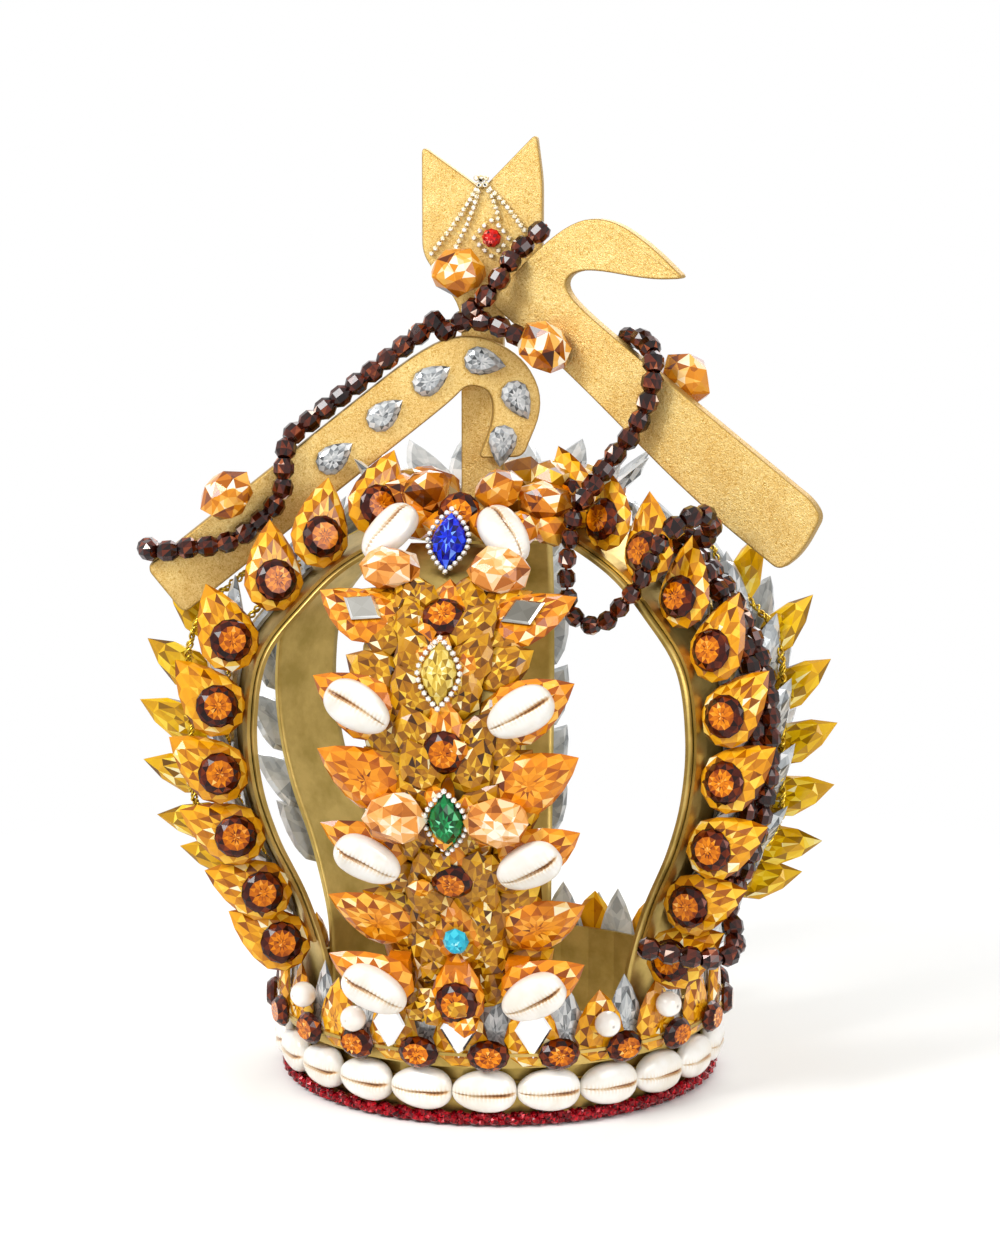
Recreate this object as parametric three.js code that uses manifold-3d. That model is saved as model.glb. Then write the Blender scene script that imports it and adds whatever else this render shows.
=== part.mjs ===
// An orisha crown for an altar vessel: a gold band ring carries six bent strips that meet at the top.
// Glass and acrylic stones, cowrie shells and chains are glued on the band and the strips, and three flat
// gold tools stand on top, tied with strands of dark faceted beads. Millimetres, +Z up, front along -Y.
// The stones of a row are joined by the narrow tape that they are glued on, so a row is one solid.
import * as THREE from "three";
import { mergeVertices } from "three/addons/utils/BufferGeometryUtils.js";
import Module from "manifold-3d";

const wasm = await Module();
wasm.setup();

// Sheet metal
const clearance = 0.3; // gap that touching pieces keep
const sheet = 1.2; // thickness of the band, the strips and the plate
const bandRadius = 68.4; // outer face of the band ring
const bandHeight = 31;
const domeRadius = 90; // widest reach of the strips
const domeHeight = 189.5; // top of the strips
const footLift = 2; // the strips' feet end this far above the floor
const stripWidth = 30;
const frontStripWidth = 50;
const frontStripTopWidth = 26;
const frontStripEndShare = 0.93; // the wide front strip stops short of its neighbours
const sideStripEndShare = 0.98;
const frontDrift = 10; // the hand-bent front strip wanders this far to the left at its top
const driftStartShare = 0.5;
const frontTaperShare = 0.72; // and narrows from here on
const plateRadius = 46;
const footBowShare = 0.16; // up to here the strips are bent round the band
const flatShare = 0.34; // from here on they keep only a little of that bow
const upperBowShare = 0.2;
const stripSteps = 20;
const widestSpan = 8;
const tapeMarginShare = 0.01;

// The strips' profile. Lower points: share of the way from the foot radius to the dome radius, and from the
// band's top to the dome's top. Upper points: share of the dome radius, and the same height share.
const lowerProfileShares = [
  [0.05, 0.09],
  [0.31, 0.23],
  [0.7, 0.355],
  [0.935, 0.47],
  [1, 0.6],
];
const upperProfileShares = [
  [0.955, 0.735],
  [0.81, 0.835],
  [0.655, 0.911],
  [0.445, 0.968],
  [0.3, 0.99],
];

// Glue tape under each row of stones
const tapeWidth = 5;
const tapeThickness = 1.1;
const embed = 0.5; // a stone sits this deep in its tape
const tapeTop = clearance + tapeThickness;
const seatHeight = tapeTop - embed;

// Stones: length, width and thickness
const drop = { length: 30, width: 20, thickness: 4 };
const roundStone = { diameter: 14, thickness: 3 };
const leaf = { length: 28, width: 18, thickness: 3.5 };
const spike = { length: 28, width: 12, thickness: 3.5 };
const petal = { length: 24, width: 18, thickness: 3 };
const clearPetal = { length: 27, width: 16, thickness: 1.8 };
const oval = { length: 13, width: 10, thickness: 3.6 };
const centreDrop = { length: 25, width: 18, thickness: 3.5 };
const marquise = { length: 20, width: 11.5, thickness: 4.5 };
const turquoise = { length: 9.5, width: 8.5, thickness: 4 };
const mirror = { length: 15, width: 11, thickness: 1.2 };
const crookStone = { length: 14, width: 9.5, thickness: 2.5 };
const baseCowrie = { length: 19.4, width: 14.6, thickness: 7 };
const cowrie = { length: 22, width: 15, thickness: 7.5 };
const nugget = { length: 20, width: 14, thickness: 9 };
const bigNugget = { length: 20, width: 17, thickness: 14 };

// Beads and chains
const beadDiameter = 7.2;
const beadPitch = 6.6;
const threadDiameter = 2;
const chainDiameter = 2.2;
const rhinestoneDiameter = 2;
const trimHeight = 4.2;
const trimDepth = 3.8;

// Tools
const boardThickness = 4.5;
const crookWidth = 19.6;
const crookLength = 122; // from the centre of the bend to the foot
const bladeLength = 133.5;
const bladeHead = 56; // height of the hooked head
const bladeFootWidth = 26;
const arrowHeight = 126;
const arrowWidth = 40;
const arrowShaftWidth = 14;
const toolYaw = THREE.MathUtils.degToRad(16.7);

const up = new THREE.Vector3(0, 0, 1);
const vector = (x, y, z) => new THREE.Vector3(x, y, z);

// Solids and booleans

// A geometry with shared vertices and its faces pointing out.
function closed(geometry) {
  const bare = new THREE.BufferGeometry().setAttribute("position", geometry.getAttribute("position"));
  if (geometry.index) bare.setIndex(geometry.index);
  const merged = mergeVertices(bare, 1e-4);
  const position = merged.getAttribute("position");
  const index = merged.index.array;
  const [a, b, c] = [vector(0, 0, 0), vector(0, 0, 0), vector(0, 0, 0)];
  let volume = 0;
  for (let i = 0; i < index.length; i += 3) {
    a.fromBufferAttribute(position, index[i]);
    b.fromBufferAttribute(position, index[i + 1]);
    c.fromBufferAttribute(position, index[i + 2]);
    volume += a.dot(b.cross(c));
  }
  if (volume < 0) {
    for (let i = 0; i < index.length; i += 3) [index[i], index[i + 1]] = [index[i + 1], index[i]];
  }
  return merged;
}

function toSolid(geometry) {
  const g = closed(geometry);
  return new wasm.Manifold(
    new wasm.Mesh({
      numProp: 3,
      vertProperties: new Float32Array(g.getAttribute("position").array),
      triVerts: new Uint32Array(g.index.array),
    }),
  );
}

function joined(geometries) {
  const solid = geometries.map(toSolid).reduce((all, one) => all.add(one));
  const mesh = solid.getMesh();
  return new THREE.BufferGeometry()
    .setAttribute("position", new THREE.BufferAttribute(mesh.vertProperties, 3))
    .setIndex(new THREE.BufferAttribute(mesh.triVerts, 1));
}

// A closed solid through rings of points; every ring has as many points as the first.
function loft(rings) {
  const count = rings[0].length;
  const index = [];
  for (let r = 0; r < rings.length - 1; r++) {
    for (let i = 0; i < count; i++) {
      const a = r * count + i;
      const b = r * count + ((i + 1) % count);
      index.push(a, b, b + count, a, b + count, a + count);
    }
  }
  const last = (rings.length - 1) * count;
  for (let i = 1; i < count - 1; i++) {
    index.push(0, i + 1, i);
    index.push(last, last + i, last + i + 1);
  }
  const points = rings.flat().flatMap((p) => [p.x, p.y, p.z]);
  return closed(
    new THREE.BufferGeometry()
      .setAttribute("position", new THREE.Float32BufferAttribute(points, 3))
      .setIndex(index),
  );
}

// A ring turned round the crown's axis from a closed outline of [radius, height] points.
function turnedRing(outline, segments) {
  const points = [...outline, outline[0]].map(([r, z]) => new THREE.Vector2(r, z));
  return closed(new THREE.LatheGeometry(points, segments).rotateX(Math.PI / 2));
}

// Outlines of stones, in the stone's own plane: x across, y along, from y = 0 to y = length.

function dropOutline({ length, width }) {
  const r = width / 2;
  const angles = [10, -35, -90, -145, 170];
  const round = angles.map((a) => THREE.MathUtils.degToRad(a));
  return [...round.map((a) => [r * Math.cos(a), r + r * Math.sin(a)]), [0, length]];
}

const marquiseShares = [
  [0, 0],
  [0.43, 0.27],
  [0.43, 0.73],
  [0, 1],
  [-0.43, 0.73],
  [-0.43, 0.27],
];
const marquiseOutline = ({ length, width }) => marquiseShares.map(([x, y]) => [x * width, y * length]);

function ovalOutline({ length, width }, sides = 8) {
  return Array.from({ length: sides }, (_, i) => {
    const a = (2 * Math.PI * (i + 0.5)) / sides;
    return [(width / 2) * Math.cos(a), (length / 2) * (1 + Math.sin(a))];
  });
}

function rhombusOutline({ length, width }) {
  return [
    [0, 0],
    [width / 2, length / 2],
    [0, length],
    [-width / 2, length / 2],
  ];
}

// A stone's body: layers of its outline, each shrunk about the middle by a share, at a share of the
// thickness.
const cutShares = [
  [0, 1],
  [1, 0.6],
];
const shellShares = [
  [0, 0.86],
  [0.45, 1],
  [1, 0.5],
];
const nuggetShares = [
  [0, 0.6],
  [0.45, 1],
  [1, 0.55],
];

function stoneBody(outline, size, layerShares) {
  const middle = (size.length ?? size.diameter) / 2;
  return loft(
    layerShares.map(([height, scale]) =>
      outline.map(([x, y]) => vector(x * scale, middle + (y - middle) * scale, height * size.thickness)),
    ),
  );
}

// Turns and moves a stone: its length lies along `along`, its face looks to `face`, and its y = 0 end is at
// `origin`.
function stoneFrame(origin, along, face) {
  const y = along.clone().normalize();
  const z = face.clone().addScaledVector(y, -face.dot(y)).normalize();
  return new THREE.Matrix4().makeBasis(y.clone().cross(z), y, z).setPosition(origin);
}

const placed = (geometry, matrix) => geometry.clone().applyMatrix4(matrix);

// A round stone that lies on the face of a drop whose frame is given
function roundOn(size, frame) {
  const disc = ovalOutline({ length: roundStone.diameter, width: roundStone.diameter }, 7);
  const body = stoneBody(disc, { length: roundStone.diameter, thickness: roundStone.thickness }, cutShares);
  body.translate(0, size.width / 2 - roundStone.diameter / 2, size.thickness - embed);
  return placed(body, frame);
}

// The strips' own frame: a place is a share of the strip's length, u across it and h out from its outer face.

const footRadius = bandRadius - sheet - 2 * clearance;
const profile = new THREE.SplineCurve(
  [
    [footRadius, footLift],
    [footRadius, bandHeight / 2],
    [footRadius, bandHeight],
    ...lowerProfileShares.map(([r, z]) => [
      footRadius + r * (domeRadius - footRadius),
      bandHeight + z * (domeHeight - bandHeight),
    ]),
    ...upperProfileShares.map(([r, z]) => [r * domeRadius, bandHeight + z * (domeHeight - bandHeight)]),
  ].map(([r, z]) => new THREE.Vector2(r, z)),
);
profile.arcLengthDivisions = 400;
const stripLength = profile.getLength();

function stripAxes(share) {
  const t = profile.getTangentAt(Math.min(Math.max(share, 0), 1));
  return { along: vector(0, -t.x, t.y), out: vector(0, -t.y, -t.x), across: vector(1, 0, 0) };
}

// How far the strip's surface falls away at u: it is round at the foot and nearly flat above.
function stripSag(share, u) {
  const bow = THREE.MathUtils.mapLinear(
    THREE.MathUtils.smoothstep(share, footBowShare, flatShare),
    0,
    1,
    1,
    upperBowShare,
  );
  return bow * (footRadius - Math.sqrt(footRadius ** 2 - u ** 2));
}

function stripPoint(share, u, h, drift = 0) {
  const p = profile.getPointAt(Math.min(Math.max(share, 0), 1));
  const wander = (-drift * Math.max(share - driftStartShare, 0)) / (1 - driftStartShare);
  return vector(u + wander, -p.x, p.y).addScaledVector(stripAxes(share).out, h - stripSag(share, u));
}

// Whatever follows a strip has its cross-sections at the same shares and lies flat between them, so that
// its faces stay parallel to the strip's.
function sections(from, to) {
  const shares = [from];
  for (let i = 1; i < stripSteps; i++) {
    const share = i / stripSteps;
    if (share > from && share < to) shares.push(share);
  }
  return [...shares, to];
}

function flatPoint(share, u, h, drift) {
  const section = Math.floor(share * stripSteps);
  const below = stripPoint(section / stripSteps, u, h, drift);
  const above = stripPoint((section + 1) / stripSteps, u, h, drift);
  return below.lerp(above, share * stripSteps - section);
}

// A band that follows the strip between two shares, from h0 to h1, with its half width given at each share.
function stripBand({ from, to, centre = 0, halfWidth, h0, h1, drift = 0, spans = 1 }) {
  const rings = sections(from, to).map((share) => {
    const w = halfWidth(share);
    const places = Array.from({ length: spans + 1 }, (_, k) => centre - w + (2 * w * k) / spans);
    const row = (h) => places.map((u) => flatPoint(share, u, h, drift));
    return [...row(h0), ...row(h1).toReversed()];
  });
  return loft(rings);
}

// The glue tape under a row of stones, from the first one to the last one
function tape(first, last, centre, drift = 0, width = tapeWidth) {
  return stripBand({
    from: first - tapeMarginShare,
    to: last + tapeMarginShare,
    centre,
    halfWidth: () => width / 2,
    h0: clearance,
    h1: tapeTop,
    drift,
    spans: Math.ceil(width / widestSpan),
  });
}

// Strands

// A strand of beads along a curve: rings of points that swell from the thread to the bead and back.
function strand(points, diameter = beadDiameter, pitch = beadPitch, sides = 5) {
  const curve = new THREE.CatmullRomCurve3(points, false, "centripetal");
  const beads = Math.max(1, Math.round(curve.getLength() / pitch));
  const steps = 2 * beads;
  const frames = curve.computeFrenetFrames(steps, false);
  const rings = [];
  for (let i = 0; i <= steps; i++) {
    const centre = curve.getPointAt(i / steps);
    const radius = (i % 2 === 0 ? threadDiameter : diameter) / 2;
    rings.push(ringRound(centre, frames.normals[i], frames.binormals[i], radius, sides));
  }
  return loft(rings);
}

function ringRound(centre, normal, binormal, radius, sides) {
  return Array.from({ length: sides }, (_, k) => {
    const a = (2 * Math.PI * k) / sides;
    return centre
      .clone()
      .addScaledVector(normal, radius * Math.cos(a))
      .addScaledVector(binormal, radius * Math.sin(a));
  });
}

// A plain round cord along a curve
function cord(points, diameter, steps, sides = 5) {
  const curve = new THREE.CatmullRomCurve3(points, false, "centripetal");
  const frames = curve.computeFrenetFrames(steps, false);
  const rings = [];
  for (let i = 0; i <= steps; i++) {
    const centre = curve.getPointAt(i / steps);
    rings.push(ringRound(centre, frames.normals[i], frames.binormals[i], diameter / 2, sides));
  }
  return loft(rings);
}

// Materials
const paint = (color, roughness, metalness, opacity = 1) =>
  new THREE.MeshStandardMaterial({ color, roughness, metalness, opacity, transparent: opacity < 1 });
const goldSheet = () => paint(0xa88b3a, 0.38, 1);
const goldLeaf = () => paint(0xe3c77a, 0.5, 0.8);
const goldWire = () => paint(0xd9b13b, 0.3, 1);
const amberGlass = () => paint(0xe8900f, 0.08, 0, 0.85);
const topazGlass = () => paint(0x7a2b05, 0.08, 0, 0.9);
const clearGlass = () => paint(0xdfe3e0, 0.06, 0, 0.7);
const yellowGlass = () => paint(0xd8b400, 0.08, 0, 0.85);
const shell = () => paint(0xf3efe6, 0.45, 0);

const crown = new THREE.Group();

function addPiece(parent, name, geometry, material) {
  const mesh = new THREE.Mesh(geometry, material);
  mesh.name = name;
  parent.add(mesh);
  return mesh;
}

// Band ring and the rows round it. Each row keeps the clearance to the one behind it, and room for the
// flats of the rings, which are polygons.

const rowSegments = 40;
const flatRoom = bandRadius * (1 - Math.cos(Math.PI / rowSegments));
const rowGap = clearance + 2 * flatRoom;
const backRow = bandRadius + rowGap;
const amberRowBack = backRow + clearPetal.thickness + rowGap;
const ovalRowBack = amberRowBack + petal.thickness + rowGap;
const rowTape = 0.8;

function ringOf(radius, z, height, thickness = rowTape) {
  return turnedRing(
    [
      [radius, z],
      [radius + thickness, z],
      [radius + thickness, z + height],
      [radius, z + height],
    ],
    rowSegments,
  );
}

// A row of equal stones round the band. The stones lie along `along` ("up" or "round").
function bandRow({ size, outline, layers, count, phaseShare, radius, z, lie, tapeZ, tapeHeight }) {
  const stones = [ringOf(radius, tapeZ, tapeHeight)];
  for (let i = 0; i < count; i++) {
    const a = (2 * Math.PI * (i + phaseShare)) / count;
    const out = vector(Math.sin(a), -Math.cos(a), 0);
    const round = vector(Math.cos(a), Math.sin(a), 0);
    const along = lie === "up" ? up : round;
    const origin = out.clone().multiplyScalar(radius).setZ(z);
    if (lie === "round") origin.addScaledVector(round, -size.length / 2);
    stones.push(placed(stoneBody(outline, size, layers), stoneFrame(origin, along, out)));
  }
  return joined(stones);
}

const cowrieCount = 22;
const ovalCount = 21;
const petalCount = 20;
const cowrieZ = trimHeight + clearance + baseCowrie.width / 2;
const petalFoot = cowrieZ + baseCowrie.width / 2 + clearance;
const ovalZ = petalFoot + oval.width / 2;

addPiece(
  crown,
  "base_ring",
  turnedRing(
    [
      [bandRadius - sheet, 0],
      [bandRadius, 0],
      [bandRadius, bandHeight],
      [bandRadius - sheet, bandHeight],
    ],
    rowSegments,
  ),
  paint(0xb3933f, 0.4, 1),
);

// The trim's section: shares of its depth and of its height
const trimShares = [
  [0, 0],
  [0.8, 0],
  [1, 0.35],
  [0.8, 1],
  [0, 1],
];
addPiece(
  crown,
  "red_bead_trim",
  turnedRing(
    trimShares.map(([r, z]) => [backRow + r * trimDepth, z * trimHeight]),
    rowSegments,
  ),
  paint(0xa80d28, 0.3, 0.7),
);

addPiece(
  crown,
  "base_cowries",
  bandRow({
    size: baseCowrie,
    outline: ovalOutline(baseCowrie, 6),
    layers: shellShares,
    count: cowrieCount,
    phaseShare: 0.37,
    radius: backRow,
    z: cowrieZ,
    lie: "round",
    tapeZ: cowrieZ - tapeWidth / 2,
    tapeHeight: tapeWidth,
  }),
  shell(),
);

addPiece(
  crown,
  "base_clear_petals",
  bandRow({
    size: clearPetal,
    outline: dropOutline(clearPetal),
    layers: cutShares,
    count: petalCount,
    phaseShare: 0.5,
    radius: backRow,
    z: petalFoot,
    lie: "up",
    tapeZ: petalFoot,
    tapeHeight: tapeWidth,
  }),
  clearGlass(),
);

addPiece(
  crown,
  "base_amber_petals",
  bandRow({
    size: petal,
    outline: dropOutline(petal),
    layers: cutShares,
    count: petalCount,
    phaseShare: 0,
    radius: amberRowBack,
    z: petalFoot,
    lie: "up",
    tapeZ: petalFoot,
    tapeHeight: tapeWidth,
  }),
  amberGlass(),
);

addPiece(
  crown,
  "base_oval_gems",
  bandRow({
    size: oval,
    outline: ovalOutline(oval, 6),
    layers: cutShares,
    count: ovalCount,
    phaseShare: 0.42,
    radius: ovalRowBack,
    z: ovalZ,
    lie: "round",
    tapeZ: ovalZ - tapeWidth / 2,
    tapeHeight: tapeWidth,
  }),
  topazGlass(),
);

// Plate inside the strips, where they meet: a shallow cap that follows the strips' inner faces

function plateGeometry() {
  const gap = sheet + clearance;
  const shares = [];
  for (const share of sections(0, 1).toReversed()) {
    if (profile.getPointAt(share).x < plateRadius) shares.push(share);
  }
  const ring = (depth) =>
    shares.map((share) => {
      const p = stripPoint(share, 0, -depth);
      return [-p.y, p.z];
    });
  const outer = ring(gap);
  const inner = ring(gap + sheet);
  const outline = [[0, inner[0][1]], ...inner, ...outer.toReversed(), [0, outer[0][1]]];
  const points = outline.map(([r, z]) => new THREE.Vector2(r, z));
  return { geometry: closed(new THREE.LatheGeometry(points, 20).rotateX(Math.PI / 2)), topZ: outer[0][1] };
}

const plate = plateGeometry();
addPiece(crown, "top_plate", plate.geometry, goldSheet());

// Strips

const degrees = THREE.MathUtils.degToRad;
const strips = {
  front: degrees(0),
  front_right: degrees(60),
  back_right: degrees(120),
  back: degrees(187),
  back_left: degrees(240),
  front_left: degrees(300),
};
const frontStripHalf = (share) => {
  const narrowing = Math.max((share - frontTaperShare) / (frontStripEndShare - frontTaperShare), 0);
  return (frontStripWidth + (frontStripTopWidth - frontStripWidth) * narrowing) / 2;
};

const groups = {};
for (const [name, azimuth] of Object.entries(strips)) {
  const group = new THREE.Group();
  group.rotation.z = azimuth;
  crown.add(group);
  groups[name] = group;
  const isFront = name === "front";
  addPiece(
    group,
    name + "_strip",
    stripBand({
      from: 0,
      to: isFront ? frontStripEndShare : sideStripEndShare,
      spans: isFront ? 4 : 3,
      halfWidth: isFront ? frontStripHalf : () => stripWidth / 2,
      h0: -sheet,
      h1: 0,
      drift: isFront ? frontDrift : 0,
    }),
    goldSheet(),
  );
}

// Stones of the side and back strips. `side` is +1 where the front edge of the strip lies at -u.

const rowLean = degrees(20); // the upright rows lean back by this

// The direction that the upright rows stand in
function outwards({ out, across }, side) {
  return out.clone().multiplyScalar(Math.cos(rowLean)).addScaledVector(across, side * Math.sin(rowLean));
}

const dropRise = degrees(45);
const dropEdge = 10; // the drops stand this far from the strip's middle
const dropReach = drop.width / 2 + seatHeight; // the drops' round ends rest on the tape

const rightDropShares = [0.23, 0.33, 0.421, 0.513, 0.598, 0.675, 0.751, 0.83, 0.904, 0.965];
const leftDropShares = [0.23, 0.322, 0.413, 0.5, 0.589, 0.67, 0.762, 0.844, 0.93];

// A row of stones that stand on edge, their faces to the front
function uprightRow({ size, outline, shares, side, edge, rise, reach, withRounds }) {
  const pieces = [tape(shares[0], shares[shares.length - 1], -side * edge)];
  for (const share of shares) {
    const { along, out, across } = stripAxes(share);
    const outward = outwards({ out, across }, side);
    const lengthwise = outward.clone().multiplyScalar(Math.sin(rise)).addScaledVector(along, Math.cos(rise));
    const face = across.clone().multiplyScalar(-side);
    const foot = stripPoint(share, -side * edge, 0).addScaledVector(outward, reach.centre);
    foot.addScaledVector(lengthwise, -reach.back);
    const frame = stoneFrame(foot, lengthwise, face);
    pieces.push(placed(stoneBody(outline, size, cutShares), frame));
    if (withRounds) pieces.push(roundOn(size, frame));
  }
  return joined(pieces);
}

for (const [name, side, shares] of [
  ["right", 1, rightDropShares],
  ["left", -1, leftDropShares],
]) {
  const group = groups["front_" + name];
  addPiece(
    group,
    "amber_drops_" + name,
    uprightRow({
      size: drop,
      outline: dropOutline(drop),
      shares,
      side,
      edge: dropEdge,
      rise: dropRise,
      reach: { centre: dropReach, back: drop.width / 2 },
      withRounds: true,
    }),
    amberGlass(),
  );
}

// Clear leaves that lie on the outer face, tips up

const leafEdge = 5;
const leafShares = [0.25, 0.33, 0.41, 0.49, 0.57, 0.65, 0.73, 0.81];
const leafTilt = degrees(7); // the tips stand off the strip by this

function leafRow({ shares, places }) {
  const middle = places.reduce((sum, { u }) => sum + u, 0) / places.length;
  const spread = 2 * (places[0].u - middle);
  const pieces = [tape(shares[0], shares[shares.length - 1], middle, 0, tapeWidth + Math.abs(spread))];
  for (const { u, splay } of places) {
    for (const share of shares) {
      const { along, out, across } = stripAxes(share);
      const lengthwise = along
        .clone()
        .multiplyScalar(Math.cos(leafTilt) * Math.cos(splay))
        .addScaledVector(across, Math.cos(leafTilt) * Math.sin(splay))
        .addScaledVector(out, Math.sin(leafTilt));
      const frame = stoneFrame(stripPoint(share, u, seatHeight), lengthwise, out);
      pieces.push(placed(stoneBody(dropOutline(leaf), leaf, cutShares), frame));
    }
  }
  return joined(pieces);
}

addPiece(
  groups.front_right,
  "clear_leaves_right",
  leafRow({ shares: leafShares, places: [{ u: leafEdge, splay: 0 }] }),
  clearGlass(),
);
addPiece(
  groups.front_left,
  "clear_leaves_left",
  leafRow({ shares: leafShares, places: [{ u: -leafEdge, splay: 0 }] }),
  clearGlass(),
);
const backLeafShares = [0.27, 0.36, 0.45, 0.545, 0.64, 0.74, 0.84];
const backLeafEdge = 5;
const backSplay = degrees(32);
for (const name of ["back_right", "back", "back_left"]) {
  addPiece(
    groups[name],
    "clear_leaves_" + name,
    leafRow({
      shares: backLeafShares,
      places: [
        { u: -backLeafEdge, splay: -backSplay },
        { u: backLeafEdge, splay: backSplay },
      ],
    }),
    clearGlass(),
  );
}

// Yellow spikes behind the edge of the two front side strips, and the chain before them

const spikeTape = 5.3; // width of the tape that joins the spikes, beside the strip's edge
const spikeEdge = stripWidth / 2 + clearance + spikeTape;
const spikeMarginShare = 0.02; // the tape goes on this far past the end spikes
const spikeRise = degrees(52);
const rightSpikeShares = [0.3, 0.37, 0.44, 0.51, 0.58, 0.65, 0.72];
const leftSpikeShares = rightSpikeShares.slice(0, -1);
const chainEdge = stripWidth / 2;
const chainShares = [0.2, 0.25, 0.3, 0.35, 0.4, 0.45, 0.5, 0.55, 0.6, 0.65, 0.7, 0.75, 0.8, 0.85];

function spikeRow(side, spikeShares) {
  const pieces = [
    stripBand({
      from: spikeShares[0] - spikeMarginShare,
      to: spikeShares[spikeShares.length - 1] + spikeMarginShare,
      centre: side * (spikeEdge - spikeTape / 2),
      halfWidth: () => spikeTape / 2,
      h0: -sheet,
      h1: 0,
    }),
  ];
  for (const share of spikeShares) {
    const { along, out, across } = stripAxes(share);
    const outward = outwards({ out, across }, side);
    const lengthwise = outward
      .multiplyScalar(Math.sin(spikeRise))
      .addScaledVector(along, Math.cos(spikeRise));
    const foot = stripPoint(share, side * spikeEdge, -sheet / 2);
    const frame = stoneFrame(foot, lengthwise, across.clone().multiplyScalar(-side));
    pieces.push(placed(stoneBody(marquiseOutline(spike), spike, cutShares), frame));
  }
  return joined(pieces);
}

function edgeChain(side) {
  const points = chainShares.map((share) =>
    stripPoint(share, side * chainEdge, clearance + chainDiameter / 2),
  );
  return cord(points, chainDiameter, 24);
}

for (const [name, side, shares] of [
  ["right", 1, rightSpikeShares],
  ["left", -1, leftSpikeShares],
]) {
  const group = groups["front_" + name];
  addPiece(group, "yellow_spikes_" + name, spikeRow(side, shares), yellowGlass());
  addPiece(group, "gold_chain_" + name, edgeChain(side), goldWire());
}

// Front strip: leaves on both sides, rounds down the middle, marquises, cowries, mirrors and nuggets

const frontLeaf = { length: 30, width: 20, thickness: 4 };
const frontLeafShares = [0.739, 0.604, 0.506, 0.4, 0.278, 0.19];
const flareEndShare = 0.4; // below this the strip flares out, and stones lean out with it
const flareLean = 0.05; // they take the strip's direction this share further up
const leaning = (share) => stripAxes(share < flareEndShare ? share + flareLean : share);
const frontLeafEdge = 15;
const frontSplay = degrees(60);
const lowRowLift = ovalRowBack - footRadius + 2 * clearance; // the lowest row stands clear of the petals
const lowRow = frontLeafShares.length - 1;
const frontRowLifts = frontLeafShares.map((_, row) => (row === lowRow ? lowRowLift : seatHeight));
const pad = { length: 7, width: 7 };
const leafTapeEdge = 19;

function frontLeafFrame(row, side) {
  const share = frontLeafShares[row];
  const { along, out, across } = leaning(share);
  const lengthwise = along
    .clone()
    .multiplyScalar(Math.cos(frontSplay))
    .addScaledVector(across, side * Math.sin(frontSplay));
  return stoneFrame(stripPoint(share, side * frontLeafEdge, frontRowLifts[row], frontDrift), lengthwise, out);
}

// The pad of glue that carries a raised stone
function glueGeometry(share, u, height) {
  const half = pad.length / stripLength / 2;
  return stripBand({
    from: share - half,
    to: share + half,
    centre: u,
    halfWidth: () => pad.width / 2,
    h0: clearance,
    h1: height + embed,
    drift: frontDrift,
  });
}

const lowPadShare = 0.235;

for (const [name, side] of [
  ["right", 1],
  ["left", -1],
]) {
  const pieces = [tape(lowPadShare, frontLeafShares[0], side * leafTapeEdge, frontDrift)];
  frontLeafShares.forEach((_, row) => {
    pieces.push(placed(stoneBody(dropOutline(frontLeaf), frontLeaf, cutShares), frontLeafFrame(row, side)));
  });
  pieces.push(glueGeometry(lowPadShare, side * leafTapeEdge, lowRowLift));
  addPiece(groups.front, "front_leaf_gems_" + name, joined(pieces), amberGlass());
}

// Rounds on teardrops: each teardrop's round end is at its share. The turquoise has a teardrop of its own.
const roundShares = [0.716, 0.535, 0.349, 0.143];
const roundLifts = [seatHeight, seatHeight, seatHeight, lowRowLift];
const turquoiseDropShare = 0.236;
const turquoiseDropLift = 2 * seatHeight;
const centreTapeWidth = 4;
const turquoiseReach = 11; // from its teardrop's round end to the turquoise's middle

function frontRounds() {
  const pieces = [tape(turquoiseDropShare, roundShares[0], 0, frontDrift, centreTapeWidth)];
  roundShares.forEach((share, i) => {
    const { along, out } = stripAxes(share);
    const frame = stoneFrame(stripPoint(share, 0, roundLifts[i], frontDrift), along, out);
    pieces.push(placed(stoneBody(dropOutline(centreDrop), centreDrop, cutShares), frame));
    pieces.push(roundOn(centreDrop, frame));
  });
  const { along, out } = leaning(turquoiseDropShare);
  const frame = stoneFrame(stripPoint(turquoiseDropShare, 0, turquoiseDropLift, frontDrift), along, out);
  pieces.push(placed(stoneBody(dropOutline(centreDrop), centreDrop, cutShares), frame));
  pieces.push(glueGeometry(turquoiseDropShare, 0, lowRowLift));
  return joined(pieces);
}
addPiece(groups.front, "front_round_stones", frontRounds(), topazGlass());

const onDrop = seatHeight + centreDrop.thickness + 3 * clearance;
for (const [name, share, height, color] of [
  ["blue_marquise", 0.855, clearance, 0x0c1fae],
  ["citrine_marquise", 0.633, onDrop, 0xe8d67a],
  ["green_marquise", 0.442, onDrop, 0x0a7a3c],
]) {
  const { along, out } = stripAxes(share);
  const frame = stoneFrame(stripPoint(share, 0, height, frontDrift), along, out);
  addPiece(
    groups.front,
    name,
    placed(stoneBody(marquiseOutline(marquise), marquise, cutShares), frame),
    paint(color, 0.06, 0, 0.9),
  );
}
const turquoiseAxes = leaning(turquoiseDropShare);
const turquoiseSeat = stripPoint(turquoiseDropShare, 0, turquoiseDropLift, frontDrift)
  .addScaledVector(turquoiseAxes.out, centreDrop.thickness + clearance)
  .addScaledVector(turquoiseAxes.along, turquoiseReach - turquoise.length / 2);
addPiece(
  groups.front,
  "turquoise_stone",
  placed(
    stoneBody(ovalOutline(turquoise), turquoise, shellShares),
    stoneFrame(turquoiseSeat, turquoiseAxes.along, turquoiseAxes.out),
  ),
  paint(0x2bb3c6, 0.35, 0),
);

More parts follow.
